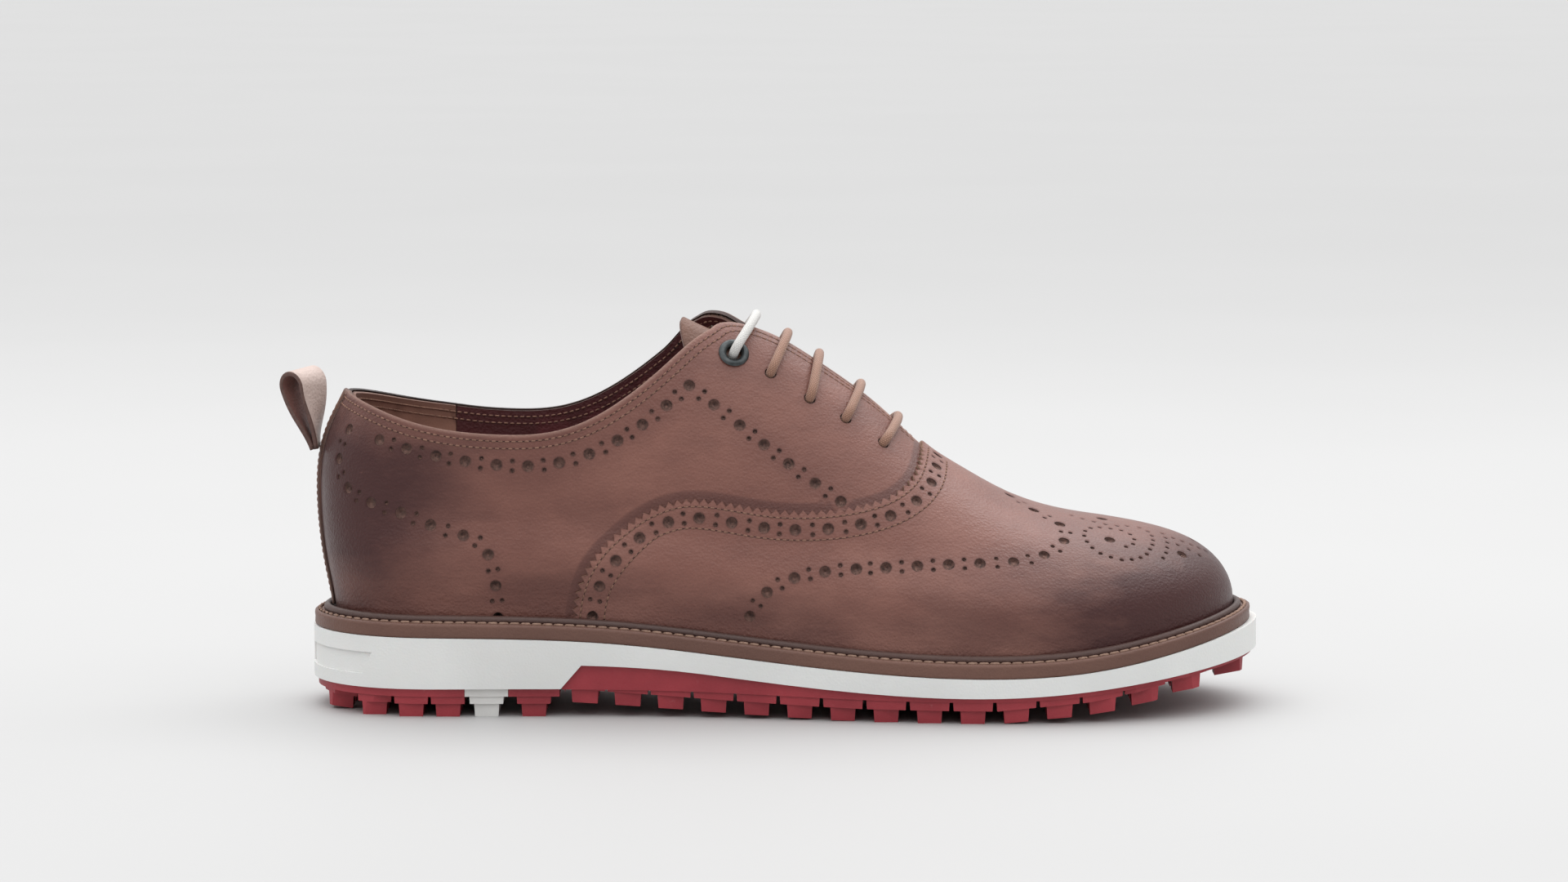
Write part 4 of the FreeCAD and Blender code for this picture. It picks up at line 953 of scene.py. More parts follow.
def stitch_frames(lines, pitch, depth, between=False):
    """Places of stitches along flat lines, at a depth under the master surface, or those between them."""
    origins, ahead, up = [], [], []
    for line in lines:
        flat = resample(line, pitch)
        ends = surface(flat)
        way = unit(ends[1:] - ends[:-1])
        here, pu, pv = tangents(flat[1:] if between else (flat[1:] + flat[:-1]) / 2)
        normal = normals_of(pu, pv)
        origins.append(here - normal * depth)
        ahead.append(way)
        up.append(normal)
    return np.concatenate(origins), np.concatenate(ahead), np.concatenate(up)


STITCH_PITCH = 2.1      # from one stitch of the upper to the next


def sew(name, lines, depth, looks, body="shoe", under=False):
    """A row of raised stitches with a needle hole between each two; under puts them on a piece's inner face."""
    lift = -0.06 if under else 0.06
    origins, ahead, up = stitch_frames(lines, STITCH_PITCH, depth - lift)
    strew(name, capsule(STITCH_PITCH * 0.66, 0.30), (origins, ahead, up), looks["thread"], body)
    origins, ahead, up = stitch_frames(lines, STITCH_PITCH, depth - lift / 2, between=True)
    strew(f"{name}_holes", pit(), (origins, ahead, -up if under else up), looks["pit"], body)


BROGUE_PITCH = 10.3
BIG, SMALL, PAIR_SPREAD = 1.85, 0.76, 1.55     # hole radii, and how far a pair's holes stand off the row


def brogue(panel, line, pitch=BROGUE_PITCH, start=0.0, end=0.0, skip_first=False):
    """Punches a row of large holes with a pair of small ones between each two."""
    flat = resample(line, 0.5)
    total = len(flat) - 1
    first, last = int(start * 2), total - int(end * 2)
    count = max(int(round((last - first) / 2 / pitch)), 1)
    marks = np.linspace(first, last, count + 1).round().astype(int)
    for k in marks[1 if skip_first else 0:]:
        panel.hole(flat[k], BIG)
    for a, b in zip(marks, marks[1:]):
        middle = flat[[(a + b) // 2 - 2, (a + b) // 2, (a + b) // 2 + 2]]
        for offset in (-PAIR_SPREAD, PAIR_SPREAD):
            panel.hole(sideways(middle, offset)[1], SMALL)


# ---------------------------------------------------------------- the upper

VAMP_EDGE = ((48.5, 85.5), (45.4, 77.4), (39.3, 72.0), (30, 68.6), (14.2, 66.4), (-1.7, 66.8), (-17.6, 69.2),
             (-28.2, 69.6), (-38.7, 66.5), (-48, 60.5), (-56, 53.0), (-61.2, 44.3), (-63.9, 34.0),
             (-64.4, 28.0))
# Lace holes: x and height of the hole, and x of the ridge where the lace crosses.
HOLE_ROWS = ((-0.4, 109.3, 4.7), (12.3, 101.3, 14.8), (23.9, 95.0, 28.3), (36.1, 87.2, 40.3))
EYELET_ROW = (-12.3, 115.4, -5.8)
# Depths under the master surface of each leather's outer and inner face.
PLY = {"vamp": (0.0, 1.2), "quarter": (1.25, 2.75), "lining": (2.8, 4.25), "tongue": (8.2, 9.8),
       "backstrip": (0.15, 1.3)}
THREAD_DEPTH = 0.14      # of a stitch row in its groove
VAMP_REAR, VAMP_LINING_REAR = -63.5, -62      # x where the rear edges meet the welt
GRIP_FRONT = -104.0
PUNCH, EYELET_PUNCH = 1.95, 3.2


def vamp_edge(side, ahead=0.0):
    """The vamp's rear edge from the ridge to the welt on one side, moved forwards by a distance."""
    line = resample(side_line(VAMP_EDGE, side), 1.0)
    return sideways(line, ahead * -side) if ahead else line


def vamp_outline():
    lateral, medial = pinked(vamp_edge(-1)), pinked(vamp_edge(1)[::-1])
    welt = resample(feather_round(VAMP_REAR, VAMP_REAR, TOE - 0.01), 2.5)
    return np.concatenate([lateral[1:], welt[1:-1], medial[:-1]])


def stitch_and_groove(panel, rows, lines, ends=1.2):
    """Cuts grooves for lines in a panel and keeps the lines for their stitches."""
    for line in lines:
        fine = resample(line, 0.6)
        cut = int(ends / 0.6)
        fine = fine[cut:len(fine) - cut]
        panel.groove(resample(fine, 1.6))
        rows.append(fine)


def cut_leather(looks, face, edge):
    """The materials of a punched piece, by slot; the holes' walls get a dark colour as painted shade."""
    return [looks[face], looks["hole"], looks[face], looks["hole_floor"], looks[edge]]


def plan_spots(spots):
    """Flat coordinates of (x, distance from the middle) on both sides of the toe."""
    both = [(x, centre_y(x) + side * y) for x, y in spots for side in ((-1, 1) if y else (1,))]
    return plan_line(both, exact=True)


# Lines of holes. The wing's are (x, height); the toe's are (x, distance from the middle).
WING_SIDE = ((-8.0, 30.7), (-5.5, 36.3), (2.8, 43.6), (13.2, 46.8), (34, 48.7), (55.7, 49.8), (65.8, 50.1))
WING_TOP = ((65.8, 41.2), (76.0, 39.7), (86.3, 35.9), (93.1, 28.7), (92.9, 19.7), (85.9, 13.4), (76.7, 4.7))
HORN = ((113.2, 26.5), (115.6, 24.1), (116.2, 20.8), (114.8, 17.3), (112.1, 15.6), (108.2, 15.8), (104.5, 16.3),
        (101.4, 18.8), (100.0, 21.9), (100.0, 24.9), (102.0, 29.7), (105.6, 32.5), (109.3, 33.2), (112.5, 33.3),
        (115.7, 31.7), (118.8, 29.5), (120.6, 26.0), (122.3, 20.0), (122.3, 15.7), (121.5, 12.0), (118.5, 9.2))
STEM = ((96.6, 8.0), (99.8, 9.8), (103.3, 11.2), (107.0, 12.2), (111.0, 12.0), (114.5, 10.2))
TOE_ARC_HOLES = ((125.1, 27.3), (126.4, 23.6), (127.0, 19.3), (127.1, 14.9), (126.0, 9.5))
TOE_ROWS = ((130.6, 15.6), (137.7, 15.0)), ((129.4, 10.8), (136.4, 9.5), (140.2, 6.7))


def punch_row(panel, flat, pitch, radius):
    for spot in resample(flat, pitch):
        panel.hole(spot, radius)


def punch_toe(panel):
    """The wing's curls and the pair of horns on the toe."""
    for side in (-1, 1):
        def mirrored(knots):
            return plan_line([(x, centre_y(x) + side * y) for x, y in knots])

        brogue(panel, mirrored(WING_TOP), 10.4, skip_first=True)
        for knots in (HORN, STEM, TOE_ARC_HOLES, *TOE_ROWS):
            punch_row(panel, mirrored(knots), 3.6, SMALL)
    for spot in plan_spots([(108.1, 24.0), (106.6, 5.5), (131.7, 20.9), (136.7, 0.0)]):
        panel.hole(spot, BIG)


def make_vamp(looks, rows):
    panel = Panel(vamp_outline(), *PLY["vamp"], edge_shade=0.15)
    stitch_and_groove(panel, rows, [vamp_edge(side, ahead)[skip:-2] for side in (-1, 1)
                                    for ahead, skip in ((2.7, 3), (10.4, 5))])
    for side in (-1, 1):
        brogue(panel, vamp_edge(side, 6.6)[4:-2], start=1.0, end=2.0)
        brogue(panel, side_line(WING_SIDE, side), 10.4, 2.0, 0.0)
    punch_toe(panel)
    vamp = panel.build("vamp_shell", cut_leather(looks, "vamp", "raw_edge"), edge_slot=EDGE_SLOT)
    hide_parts("vamp")


QUARTER_ROWS, LINING_ROWS = (2.2, 4.6), (2.0, 4.4)     # stitch rows, by their distance under the topline


def side_spot(x, z, side):
    """Flat coordinates of the upper's face at x and height on one side."""
    return side_line(((x, z), (x + 0.1, z)), side)[0]


def quarter_outline(side):
    top = throat_line(side)
    front = resample(vamp_edge(side, 9.0), 3.0)
    front_x = float(surface(front[-1:])[0, 0])
    bottom = resample(feather_line(front_x, HEEL + 0.01, side), 2.5)
    z_top = float(surface(top[:1])[0, 2])
    heel = heel_line(np.linspace(feather_z(HEEL) - 1, z_top, 30)[:-1])
    return np.concatenate([resample(top, 1.4), front[1:], bottom[1:-1], heel])


COLLAR_ROW = ((-126.1, 88.2), (-106.9, 83.1), (-86.9, 80.2), (-76.8, 79.9), (-57.8, 84), (-41.4, 93.2),
              (-26.5, 105.5))
FACING_ROW = ((-26.5, 105.5), (-10.6, 93.1), (5.2, 80.9), (21.7, 69.3))
HEEL_WING = ((-136.9, 91.0), (-140.2, 82.0), (-137.8, 73.2), (-121.6, 65.8), (-102.5, 59.2), (-92.9, 55.3),
             (-88.8, 44.9), (-87.7, 31.0))


def make_quarter(looks, rows, side):
    name = "lateral" if side < 0 else "medial"
    outline = quarter_outline(side)
    panel = Panel(outline, *PLY["quarter"], edge_shade=-0.9)
    top = resample(throat_line(side), 1.0)
    inward = 1 if area_of(outline) > 0 else -1
    stitch_and_groove(panel, rows, [sideways(top, inward * gap)[3:-4] for gap in QUARTER_ROWS])
    brogue(panel, side_line(COLLAR_ROW, side))
    brogue(panel, side_line(FACING_ROW, side), skip_first=True)
    brogue(panel, side_line(HEEL_WING, side))
    for x, z, _ in HOLE_ROWS:
        panel.hole(side_spot(x, z, side), PUNCH, through=True)
    panel.hole(side_spot(*EYELET_ROW[:2], side), EYELET_PUNCH, through=True)
    # painted shadow: the quarter darkens just behind the vamp's raised edge
    for behind, shade in ((2.9, 0.0), (2.0, 0.85), (0.5, 1.0)):
        panel.shade_line(vamp_edge(side, -behind)[3:-1], shade)
    # both quarters have the same cut edge: pale on the lateral side, darker on the medial side as painted shade
    edge = "pale_edge" if side < 0 else "painted_shade_edge"
    quarter = panel.build(f"quarter_{name}_shell", cut_leather(looks, "quarter", edge), edge_slot=EDGE_SLOT)
    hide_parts(f"quarter_{name}")


def lining_top(side):
    return throat_line(side, drop=0.4, stop=44.0, widen=0.3)


def lining_outline(side):
    top = lining_top(side)
    places = surface(top)
    top = top[(places[:, 0] > GRIP_FRONT + 0.2)]
    front = resample(vamp_edge(side, 2.0), 3.0)
    front = front[surface(front)[:, 0] < 43.0]
    front_x = float(surface(front[-1:])[0, 0])
    bottom = resample(feather_line(front_x, GRIP_FRONT, side), 3.0)
    high = float(surface(top[:1])[0, 2])
    seam = side_line([(GRIP_FRONT + 0.2, z) for z in np.linspace(feather_z(GRIP_FRONT), high, 20)[:-1]], side)
    return np.concatenate([resample(top, 1.5), front, bottom[1:], resample(seam, 2.5)])


def make_quarter_lining(looks, rows, side):
    name = "lateral" if side < 0 else "medial"
    top = lining_top(side)
    panel = Panel(lining_outline(side), *PLY["lining"])
    lining = panel.build(f"quarter_lining_{name}_skin", [looks["strap"], looks["hole"], looks["red"]],
                         closed=True, strip=(top, 9.0))
    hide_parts(f"quarter_lining_{name}")
    rows += [sideways(resample(top, 1.0), side * gap)[6:-5] for gap in LINING_ROWS]


def grip_side(side):
    """The grip's top edge on one side, and its front edge downwards."""
    top = collar_line(side, 0.4)
    top = top[surface(top)[:, 0] < GRIP_FRONT]
    heights = np.linspace(float(surface(top[-1:])[0, 2]), feather_z(GRIP_FRONT) - 1, 30)
    return top, side_line([(GRIP_FRONT, z) for z in heights], side)


def make_heel_grip(looks, rows):
    (left, left_front), (right, right_front) = grip_side(-1), grip_side(1)
    top = np.concatenate([right[:0:-1], left])
    bottom = feather_round(GRIP_FRONT, GRIP_FRONT, HEEL + 0.01)
    outline = np.concatenate([resample(top, 1.5), resample(left_front, 2.5)[1:], resample(bottom, 2.5)[1:-1],
                              resample(right_front[::-1], 2.5)[:-1]])
    panel = Panel(outline, *PLY["lining"])
    grip = panel.build("heel_grip_skin", [looks["grip"], looks["hole"], looks["grip"]], closed=True,
                       strip=(top, 7.0))
    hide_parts("heel_grip")
    rows += [sideways(resample(edge, 1.0), side * gap)[2:] for side, edge in ((-1, left), (1, right))
             for gap in LINING_ROWS]


def make_vamp_lining(looks):
    edge = [vamp_edge(side, 2.2) for side in (-1, 1)]
    welt = feather_round(VAMP_LINING_REAR, VAMP_LINING_REAR, TOE - 0.01)
    outline = np.concatenate([resample(edge[0], 2.5), resample(welt, 3.0)[1:-1],
                              resample(edge[1][::-1], 2.5)[:-1]])
    lining = Panel(outline, *PLY["lining"], spacing=4.0).build(
        "vamp_lining_skin", [looks["red"], looks["hole"], looks["red"]], closed=True, strip=(edge[0], 0.0))
    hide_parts("vamp_lining")


TONGUE_PLAN = ((57, 15), (50, 17), (35, 20), (20, 23), (0, 25), (-16, 25.5), (-23.5, 22), (-27, 14), (-27, 6),
               (-26.5, 0))
RIDGE_REACH = 12.0      # how far from the ridge the tongue's arch begins, in flat coordinates


def tongue_arch(flat):
    """The upper's face over the tongue, arched at the ridge, where a deep offset would fold over itself."""
    depth = PLY["tongue"][0]

    def deep(u, v):
        here, normal = leather_face(np.column_stack([u, v]))
        return here - normal * depth

    def arched(u, v):
        edge = np.full(len(u), RIDGE_REACH)
        t = np.clip((v / RIDGE_REACH + 1) / 2, 0.0, 1.0)[:, None]
        low, high = deep(u, -edge), deep(u, edge)
        rise = (low - deep(u, -edge - 1.0)) * 2 * RIDGE_REACH
        fall = (deep(u, edge + 1.0) - high) * 2 * RIDGE_REACH
        bridge = low * (2 * t ** 3 - 3 * t ** 2 + 1) + rise * (t ** 3 - 2 * t ** 2 + t)
        bridge += high * (3 * t ** 2 - 2 * t ** 3) + fall * (t ** 3 - t ** 2)
        return np.where(np.abs(v)[:, None] < RIDGE_REACH, bridge, deep(u, v))

    u, v = flat[:, 0], flat[:, 1]
    normal = normals_of(arched(u + 0.5, v) - arched(u - 0.5, v), arched(u, v + 0.5) - arched(u, v - 0.5))
    return arched(u, v) + normal * depth, normal


def make_tongue(looks):
    half = curve_through(TONGUE_PLAN, 80)
    loop = np.concatenate([half * (1, -1), half[::-1][1:]])
    outline = resample(plan_line(loop, exact=True), 2.0, closed=True)
    panel = Panel(outline, *PLY["tongue"])
    tongue = panel.build("tongue_shell", [looks["tongue"], looks["hole"], looks["red"]], body="tongue",
                         shape=tongue_arch, closed=True, strip=(outline, 5.0))
    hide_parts("tongue", "tongue_lining")
    edge = closed_offset(outline if area_of(outline) > 0 else outline[::-1], 2.2)
    edge = np.roll(edge, -np.argmin(np.abs(edge[:, 1])), 0)
    rows = [edge[edge[:, 1] * side > RIDGE_REACH] for side in (-1, 1)]
    sew("tongue_stitches", rows, PLY["tongue"][0], looks, "tongue")


def make_backstrip(looks, rows):
    half, top = 5.0, float(topline_z(-138.6)) - 0.6
    low = float(feather_z(HEEL)) - 1
    heights = np.linspace(low, top, 50)
    outline = np.concatenate([heel_line(heights, half), heel_line(heights[::-1], -half)])
    outline = resample(outline, 1.5, closed=True)
    panel = Panel(outline, *PLY["backstrip"], spacing=2.0)
    stitch_and_groove(panel, rows, [heel_line(heights[2:-2], y) for y in (-3.4, 3.4)])
    strip = panel.build("backstrip_shell", [looks["strap"], looks["hole"]])
    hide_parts("backstrip")


# ---------------------------------------------------------------- welt, rand and footbed


def plan_ring(count=420):
    """The feather line in plan, all round, and its outward directions."""
    turn = 2 * np.pi * np.arange(count) / count
    x = (HEEL + TOE) / 2 - (TOE - HEEL) / 2 * np.cos(turn)
    side = np.where(turn < np.pi, -1.0, 1.0)
    half = np.where(side < 0, lateral_half(x), medial_half(x)) * closing(x)
    ring = np.stack([x, centre_y(x) + side * half], 1)
    loop = np.concatenate([ring, ring[:1]])
    walk = lengths(loop)
    ring = read_line(np.linspace(0, walk[-1], count + 1)[:-1], walk, loop)
    forward = unit(np.roll(ring, -1, 0) - np.roll(ring, 1, 0))
    for _ in range(2):
        forward = unit(np.roll(forward, 1, 0) + 2 * forward + np.roll(forward, -1, 0))
    return ring, np.stack([forward[:, 1], -forward[:, 0]], 1)


def ring_points(offset, lift):
    """Points all round at a plan offset from the feather line and a height over the midsole."""
    ring, out = plan_ring()
    spots = ring + out * offset
    return np.column_stack([spots, welt_z(spots[:, 0]) + lift])


def make_strip(name, profile, material, node, seams=()):
    """A closed strip of a (offset, lift) profile, swept right round the shoe."""
    rows = [ring_points(offset, lift) for offset, lift in profile]
    count, deep = len(rows[0]), len(rows)
    mesh = new_mesh(name, np.concatenate(rows), quads(deep, count, wrap=True))
    mark_seams_and_painted_shade(mesh, np.repeat([1.0 if p in seams else 0.0 for p in range(deep)], count))
    strip = link(name, mesh, material)
    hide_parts(node)


WELT_STITCH = 3.5      # from one welt stitch to the next
RAND_TOP = WELT_THICK + RAND_HEIGHT
# Profiles as (offset outwards from the feather line, lift over the midsole).
WELT_PROFILE = ((0.3, 0.02), (4.9, 0.02), (5.3, 0.3), (5.45, 0.9), (5.35, 2.3), (5.5, 3.6), (5.4, 4.3),
                (4.95, 4.72), (4.45, 4.8), (4.15, 4.55), (3.8, 4.3), (3.45, 4.45), (3.1, 4.75), (2.6, 4.8),
                (0.3, 4.8))
RAND_PROFILE = ((0.3, WELT_THICK + 0.01), (2.35, WELT_THICK + 0.01), (2.55, WELT_THICK + 0.35),
                (2.5, WELT_THICK + 1.0), (2.1, RAND_TOP - 0.45), (1.6, RAND_TOP - 0.08), (1.1, RAND_TOP),
                (0.6, RAND_TOP - 0.25), (0.3, RAND_TOP - 0.7))


def make_welt(looks):
    make_strip("welt_strip", WELT_PROFILE, looks["welt"], "welt", seams=(9, 10, 11, 14))
    make_strip("storm_rand_strip", RAND_PROFILE, looks["rand"], "storm_rand", seams=(0, 1, 8))
    ring = ring_points(3.8, WELT_THICK + 0.1)
    loop = np.concatenate([ring, ring[:1]])
    walk = lengths(loop)
    count = int(round(walk[-1] / WELT_STITCH))
    spots = read_line(np.linspace(0, walk[-1], count + 1), walk, loop)
    middles, ahead = (spots[1:] + spots[:-1]) / 2, unit(spots[1:] - spots[:-1])
    up = np.tile([0.0, 0.0, 1.0], (count, 1))
    out = np.cross(ahead, up)
    ahead = unit(ahead + out * 0.2 + up * 0.05)
    stitches = strew("welt_stitches", capsule(3.1, 0.52), (middles, ahead, up), looks["welt_thread"])
    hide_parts("welt_stitching")


FOOTBED_BASE = 9.1      # the cover's underside, over the midsole


def make_footbed(looks):
    """The sockliner's cover: a cupped, slightly crowned leather sheet on the foam."""
    ring, out = plan_ring(200)
    rows = []
    middle_x = np.clip(ring[:, 0], -100, 95)
    middle = np.stack([middle_x, centre_y(middle_x)], 1)
    shares = [0.0, 0.02, 0.05, 0.1, 0.18, 0.3, 0.45, 0.6, 0.75, 0.9, 0.985]
    for share in shares:
        spots = ring - out * 5.4
        spots = spots + (middle - spots) * share
        cup = 1.3 * (1 - ease(share, 0.0, 0.3)) + 0.35 * math.sin(math.pi * share)
        arch = 2.0 * ease(spots[:, 1], 2, 24) * ease(spots[:, 0], -70, -30) * ease(-spots[:, 0], -45, -5)
        lift = FOOTBED_BASE + 0.95 + cup + arch * (1 - share)
        if share == 0.0:
            lift = lift - 0.5
        rows.append(np.column_stack([spots, welt_z(spots[:, 0]) + lift]))
    under = np.column_stack([rows[0][:, :2], welt_z(rows[0][:, 0]) + FOOTBED_BASE])
    rows.insert(0, under)
    count = len(ring)
    faces = quads(len(rows), count)
    last = (len(rows) - 1) * count
    half = count // 2
    faces += [(last + k, last + k + 1, last + (count - k - 1) % count, last + (count - k) % count)
              for k in range(1, half)]
    faces.append((last, last + 1, last + count - 1))
    inner = rows[0][:, :2] + (middle - rows[0][:, :2]) * 0.985
    points = np.concatenate(rows + [np.column_stack([inner, welt_z(middle_x) + FOOTBED_BASE])])
    low = len(rows) * count
    faces += [(k, low + k, low + (k + 1) % count, (k + 1) % count) for k in range(count)]
    cover = link("sockliner_skin", new_mesh("sockliner_skin", points, faces), looks["footbed"])
    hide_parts("sockliner_cover")


# ---------------------------------------------------------------- laces

LACE_RADIUS, LACE_OUT, LACE_IN, OVER_EYELET = 1.55, 0.45, -5.95, 1.6


def on_side(x, z, side):
    """A point of the master surface at x and height on one side, with its normal."""
    flat = side_spot(x, z, side)[None]
    here, pu, pv = tangents(flat)
    return here[0], normals_of(pu, pv)[0]


def lace_point(row, share, side, lift):
    """A point over the throat on a row's tilted plane: share 1 at the hole, 0 at the ridge."""
    x, z, ridge_x = row
    hole, _ = on_side(x, z, side)
    up = unit(np.array([ridge_x - x, 0, float(ridge_z(ridge_x)) - z]))
    start = np.array([[x, hole[1] * share, z]])
    spot = search(lambda s: start + up * s[:, None], [-4.0], [40.0])
    _, pu, pv = tangents(flatten(spot))
    return spot[0] + normals_of(pu, pv)[0] * lift


def bar(row, side, lift=LACE_OUT, count=9):
    """Lace points from a hole on one side, over the ridge, to the other side's hole."""
    shares = [1 - 2 * k / (count - 1) for k in range(count)]
    return [lace_point(row, abs(s), side if s > 0 else -side, lift) for s in shares]


def through(row, side):
    """The point inside the upper behind a hole."""
    spot, normal = on_side(row[0], row[1], side)
    return spot + normal * LACE_IN


def crossing(row, other, side, count=9):
    """Hidden lace points from a row's hole on one side to the next row's hole on the other."""
    points = []
    for k in range(1, count - 1):
        t = k / (count - 1)
        mixed = [a + (b - a) * t for a, b in zip(row, other)]
        share = 1 - 2 * t
        points.append(lace_point(mixed, abs(share), side if share > 0 else -side, LACE_IN))
    return points


def tail(spots, side):
    """Lace points down the inside of a quarter, through (x, height) spots."""
    return [spot + normal * LACE_IN for spot, normal in (on_side(x, z, side) for x, z in spots)]


AGLET_SHARE = 0.3      # the cord's part of its last straight run; the rest is the aglet's


def cut_for_aglet(points):
    """Leaves the last straight run to the aglet, apart from its first share."""
    return points[:-1] + [points[-2] + (points[-1] - points[-2]) * AGLET_SHARE]


def smooth_route(name, points):
    """The NURBS line with the route's points as its control points, and points read along it."""
    data = bpy.data.curves.new(name, "CURVE")
    data.dimensions = "3D"
    data.resolution_u = 8
    route = data.splines.new("NURBS")
    route.points.add(len(points) - 1)
    for spot, point in zip(route.points, points):
        spot.co = (*(np.array(point) * MM), 1)
    route.order_u = 3
    route.use_endpoint_u = True
    holder = bpy.data.objects.new(name, data)
    mesh = bpy.data.meshes.new_from_object(holder)
    line = np.array([v.co[:] for v in mesh.vertices]) / MM
    bpy.data.meshes.remove(mesh)
    bpy.data.objects.remove(holder)
    bpy.data.curves.remove(data)
    return line


def tube(name, line, radius, material, sides=14):
    """A round cord along a line, with girth and length coordinates for its weave."""
    walk = lengths(line)
    at = np.linspace(0, walk[-1], int(walk[-1] / 0.8) + 1)
    line = read_line(at, walk, line)
    for _ in range(2):
        line[1:-1] = (line[:-2] + 2 * line[1:-1] + line[2:]) / 4
    ahead = unit(np.gradient(line, axis=0))
    side = np.zeros_like(line)
    side[0] = unit(np.cross(ahead[0], [0.3, 1.0, 0.2]))
    for k in range(1, len(line)):
        side[k] = unit(side[k - 1] - ahead[k] * np.dot(side[k - 1], ahead[k]))
    other = np.cross(ahead, side)
    turn = 2 * np.pi * np.arange(sides) / sides
    ring = np.cos(turn)[None, :, None] * side[:, None] + np.sin(turn)[None, :, None] * other[:, None]
    points = (line[:, None] + ring * radius).reshape(-1, 3)
    places = [(j + dj, at[k + dk]) for k in range(len(line) - 1) for j in range(sides)
              for dj, dk in ((0, 0), (1, 0), (1, 1), (0, 1))] + [(0, 0)] * 2 * sides
    mesh = new_mesh(name, points, capped(len(line), sides), ring.reshape(-1, 3))
    layer = mesh.uv_layers.new(name="weave")
    girth = 2 * np.pi * radius / sides
    values = np.array(places, float) * (girth, 1.0)
    layer.data.foreach_set("uv", values.ravel().astype(np.float32))
    return link(name, mesh, material)


def make_laces(looks):
    path = []
    for k, row in enumerate(HOLE_ROWS):
        path += [through(row, -1)] + bar(row, -1) + [through(row, 1)]
        if k < len(HOLE_ROWS) - 1:
            path += crossing(row, HOLE_ROWS[k + 1], 1)
    start = cut_for_aglet([path[0]] + tail([(-3.0, 103.0), (-6.5, 97.0), (-12.0, 78.0)], -1))
    end = cut_for_aglet([path[-1]] + tail([(34.5, 81.5), (30.0, 77.0), (10.0, 70.0)], 1))
    brown = tube("lace_brown_cord", smooth_route("brown_route", start[:0:-1] + path + end[1:]), LACE_RADIUS,
                 looks["brown_cord"])
    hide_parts("lace_brown")
    top = [through(EYELET_ROW, -1)] + bar(EYELET_ROW, -1, OVER_EYELET) + [through(EYELET_ROW, 1)]
    left, right = (cut_for_aglet([end] + tail([(-14.5, 109.0), (-17.0, 103.0), (-22.0, 84.0)], side))
                   for end, side in ((top[0], -1), (top[-1], 1)))
    white = tube("lace_white_cord", smooth_route("white_route", left[:0:-1] + top + right[1:]), LACE_RADIUS,
                 looks["white_cord"])
    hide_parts("lace_white")


# ---------------------------------------------------------------- pull tab

TAB_BASE, TAB_LEAN, TAB_LENGTH = np.array([-148.4, 0.0, 82.6]), math.radians(100.0), 21.0
TAB_ROOT, TAB_CROWN, TAB_WIDTH, TAB_STRAP = 1.1, 5.1, 12.0, 1.5
TAB_FOOT = 0.5     # how far the front leg stands out at its foot
TAB_TWIST = math.radians(38.0)      # how far the loop's top has turned about its own length


def tab_path():
    """The middle of the strap's thickness, up the front leg, over the top and down the back leg."""
    slope = math.asin((TAB_CROWN - TAB_ROOT) / TAB_LENGTH)
    low, high = TAB_ROOT - TAB_STRAP / 2, TAB_CROWN - TAB_STRAP / 2
    bend = math.pi / 2 + slope
    back = [(s * TAB_LENGTH + r * math.cos(bend), r * math.sin(bend))
            for s, r in [(k / 12, low + (high - low) * k / 12) for k in range(13)]]
    front = [(s, w + TAB_FOOT * (1 - k / 12) ** 9) for k, (s, w) in enumerate(back)]
    crown = [(TAB_LENGTH + high * math.cos(a), high * math.sin(a)) for a in np.linspace(bend, -bend, 18)[1:-1]]
    back = [(s, -w) for s, w in back[::-1]]
    return np.array(front + crown + back)


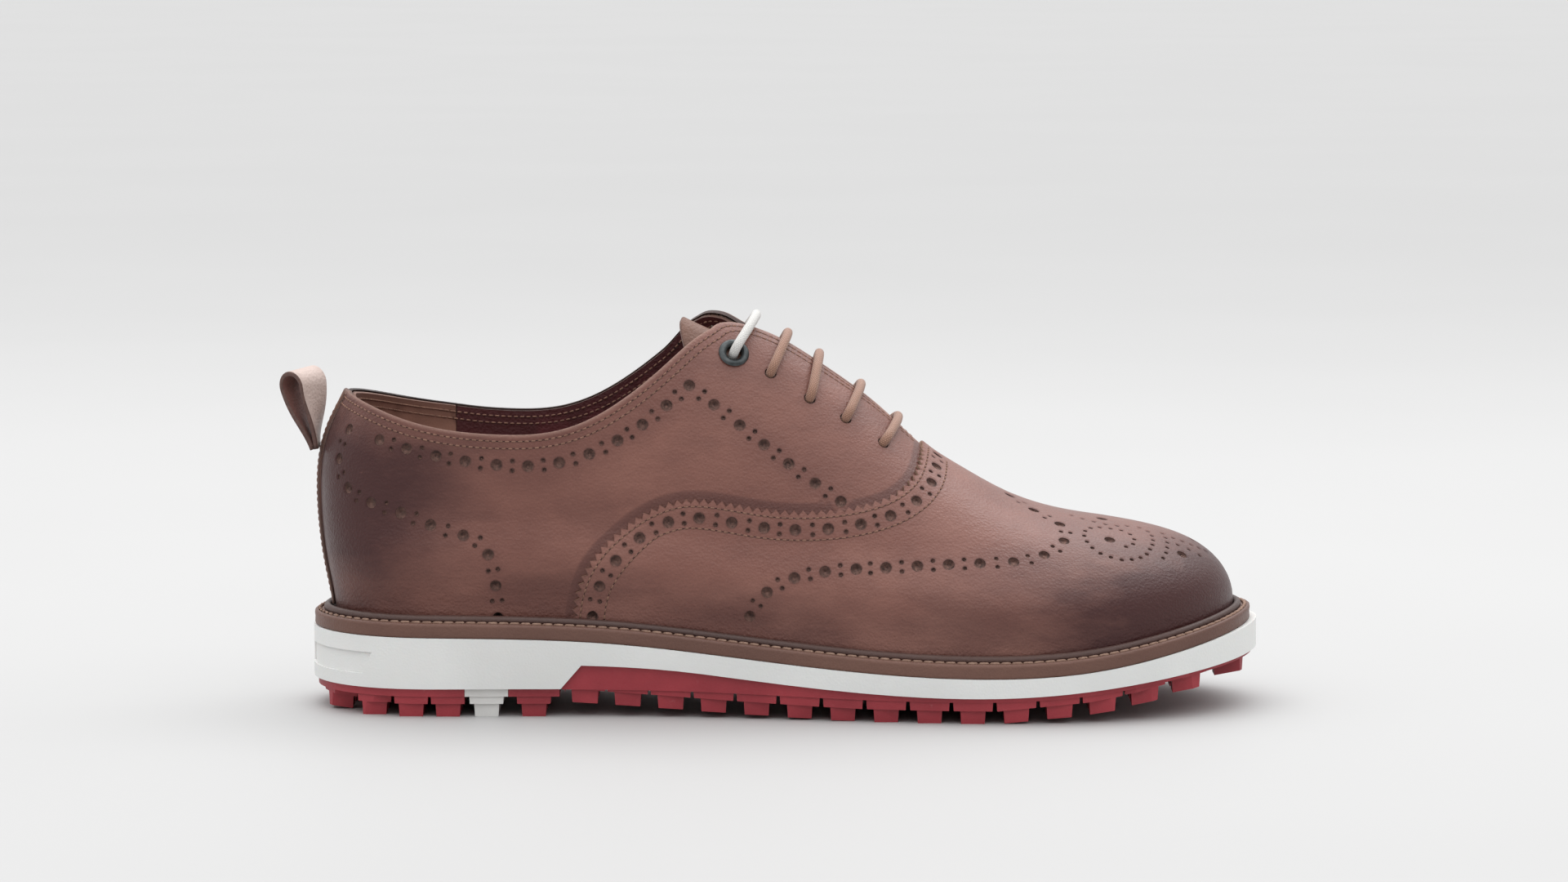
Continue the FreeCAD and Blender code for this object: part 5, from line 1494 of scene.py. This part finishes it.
def make_pull_tab(looks):
    path = tab_path()
    along = np.array([math.cos(TAB_LEAN), 0, math.sin(TAB_LEAN)])
    ahead = np.array([math.sin(TAB_LEAN), 0, -math.cos(TAB_LEAN)])
    step = unit(np.gradient(path, axis=0))
    flat_normal = np.stack([-step[:, 1], step[:, 0]], 1)
    half, thick, edge = TAB_WIDTH / 2, TAB_STRAP / 2, 0.3
    section = [(-half, -thick + edge), (-half, thick - edge), (-half + edge, thick), (-half / 2, thick),
               (0, thick), (half / 2, thick), (half - edge, thick), (half, thick - edge), (half, -thick + edge),
               (half - edge, -thick), (0, -thick), (-half + edge, -thick)]
    points = []
    for (s, w), normal in zip(path, flat_normal):
        twist = TAB_TWIST * float(ease(s, 1.0, TAB_LENGTH))
        for across, deep in section:
            a, b, y = s + normal[0] * deep, w + normal[1] * deep, across
            b, y = b * math.cos(twist) + y * math.sin(twist), y * math.cos(twist) - b * math.sin(twist)
            points.append(TAB_BASE + along * a + ahead * b + np.array([0, y, 0]))
    count = len(section)
    faces = capped(len(path), count)
    mesh = new_mesh("pull_tab_strap", np.array(points), faces)
    slots = {0: 1, 1: 1, 6: 1, 7: 1, 8: 1, 9: 2, 10: 2, 11: 1}        # cut edges, and the loop's inner face
    mesh.polygons.foreach_set("material_index", [slots.get(k % count, 0) for k in range(len(faces))])
    tab = link("pull_tab_strap", mesh, [looks["tab"], looks["tab_edge"], looks["tab_inside"]], "pull_tab")
    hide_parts("pull_tab")


# ---------------------------------------------------------------- carried-over CAD nodes

DRESS = {
    "outsole_forefoot": "red_rubber", "outsole_heel": "red_rubber", "outsole_heel_front": "red_rubber",
    "heel_insert": "white_rubber", "midsole": "foam", "bottom_filler": "cork", "shank": "steel",
    "insole_board": "board", "sockliner_foam": "inner_foam", "vamp_backer": "backing", "toe_puff": "backing",
    "heel_counter": "backing", "eyestay_lateral": "backing", "eyestay_medial": "backing", "eyelets": "gunmetal",
    "lace_aglets": "aglet",
}


def dress_nodes(looks):
    for node, look in DRESS.items():
        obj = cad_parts[node]
        for slot in obj.material_slots:
            slot.material = looks[look]


def main():
    bpy.context.scene.view_settings.view_transform = "Standard"
    make_camera()
    make_stage()
    make_lights()
    looks = make_materials()
    dress_nodes(looks)
    make_laces(looks)
    vamp_rows, quarter_rows, strip_rows, lining_rows = [], [], [], []
    make_vamp(looks, vamp_rows)
    for side in (-1, 1):
        make_quarter(looks, quarter_rows, side)
    make_backstrip(looks, strip_rows)
    for side in (-1, 1):
        make_quarter_lining(looks, lining_rows, side)
    make_heel_grip(looks, lining_rows)
    make_vamp_lining(looks)
    make_tongue(looks)
    sew("vamp_stitches", vamp_rows, PLY["vamp"][0] + THREAD_DEPTH, looks)
    sew("quarter_stitches", quarter_rows, PLY["quarter"][0] + THREAD_DEPTH, looks)
    sew("backstrip_stitches", strip_rows, PLY["backstrip"][0] + THREAD_DEPTH, looks)
    sew("lining_stitches", lining_rows, PLY["lining"][1], looks, under=True)
    make_welt(looks)
    make_footbed(looks)
    make_pull_tab(looks)


main()
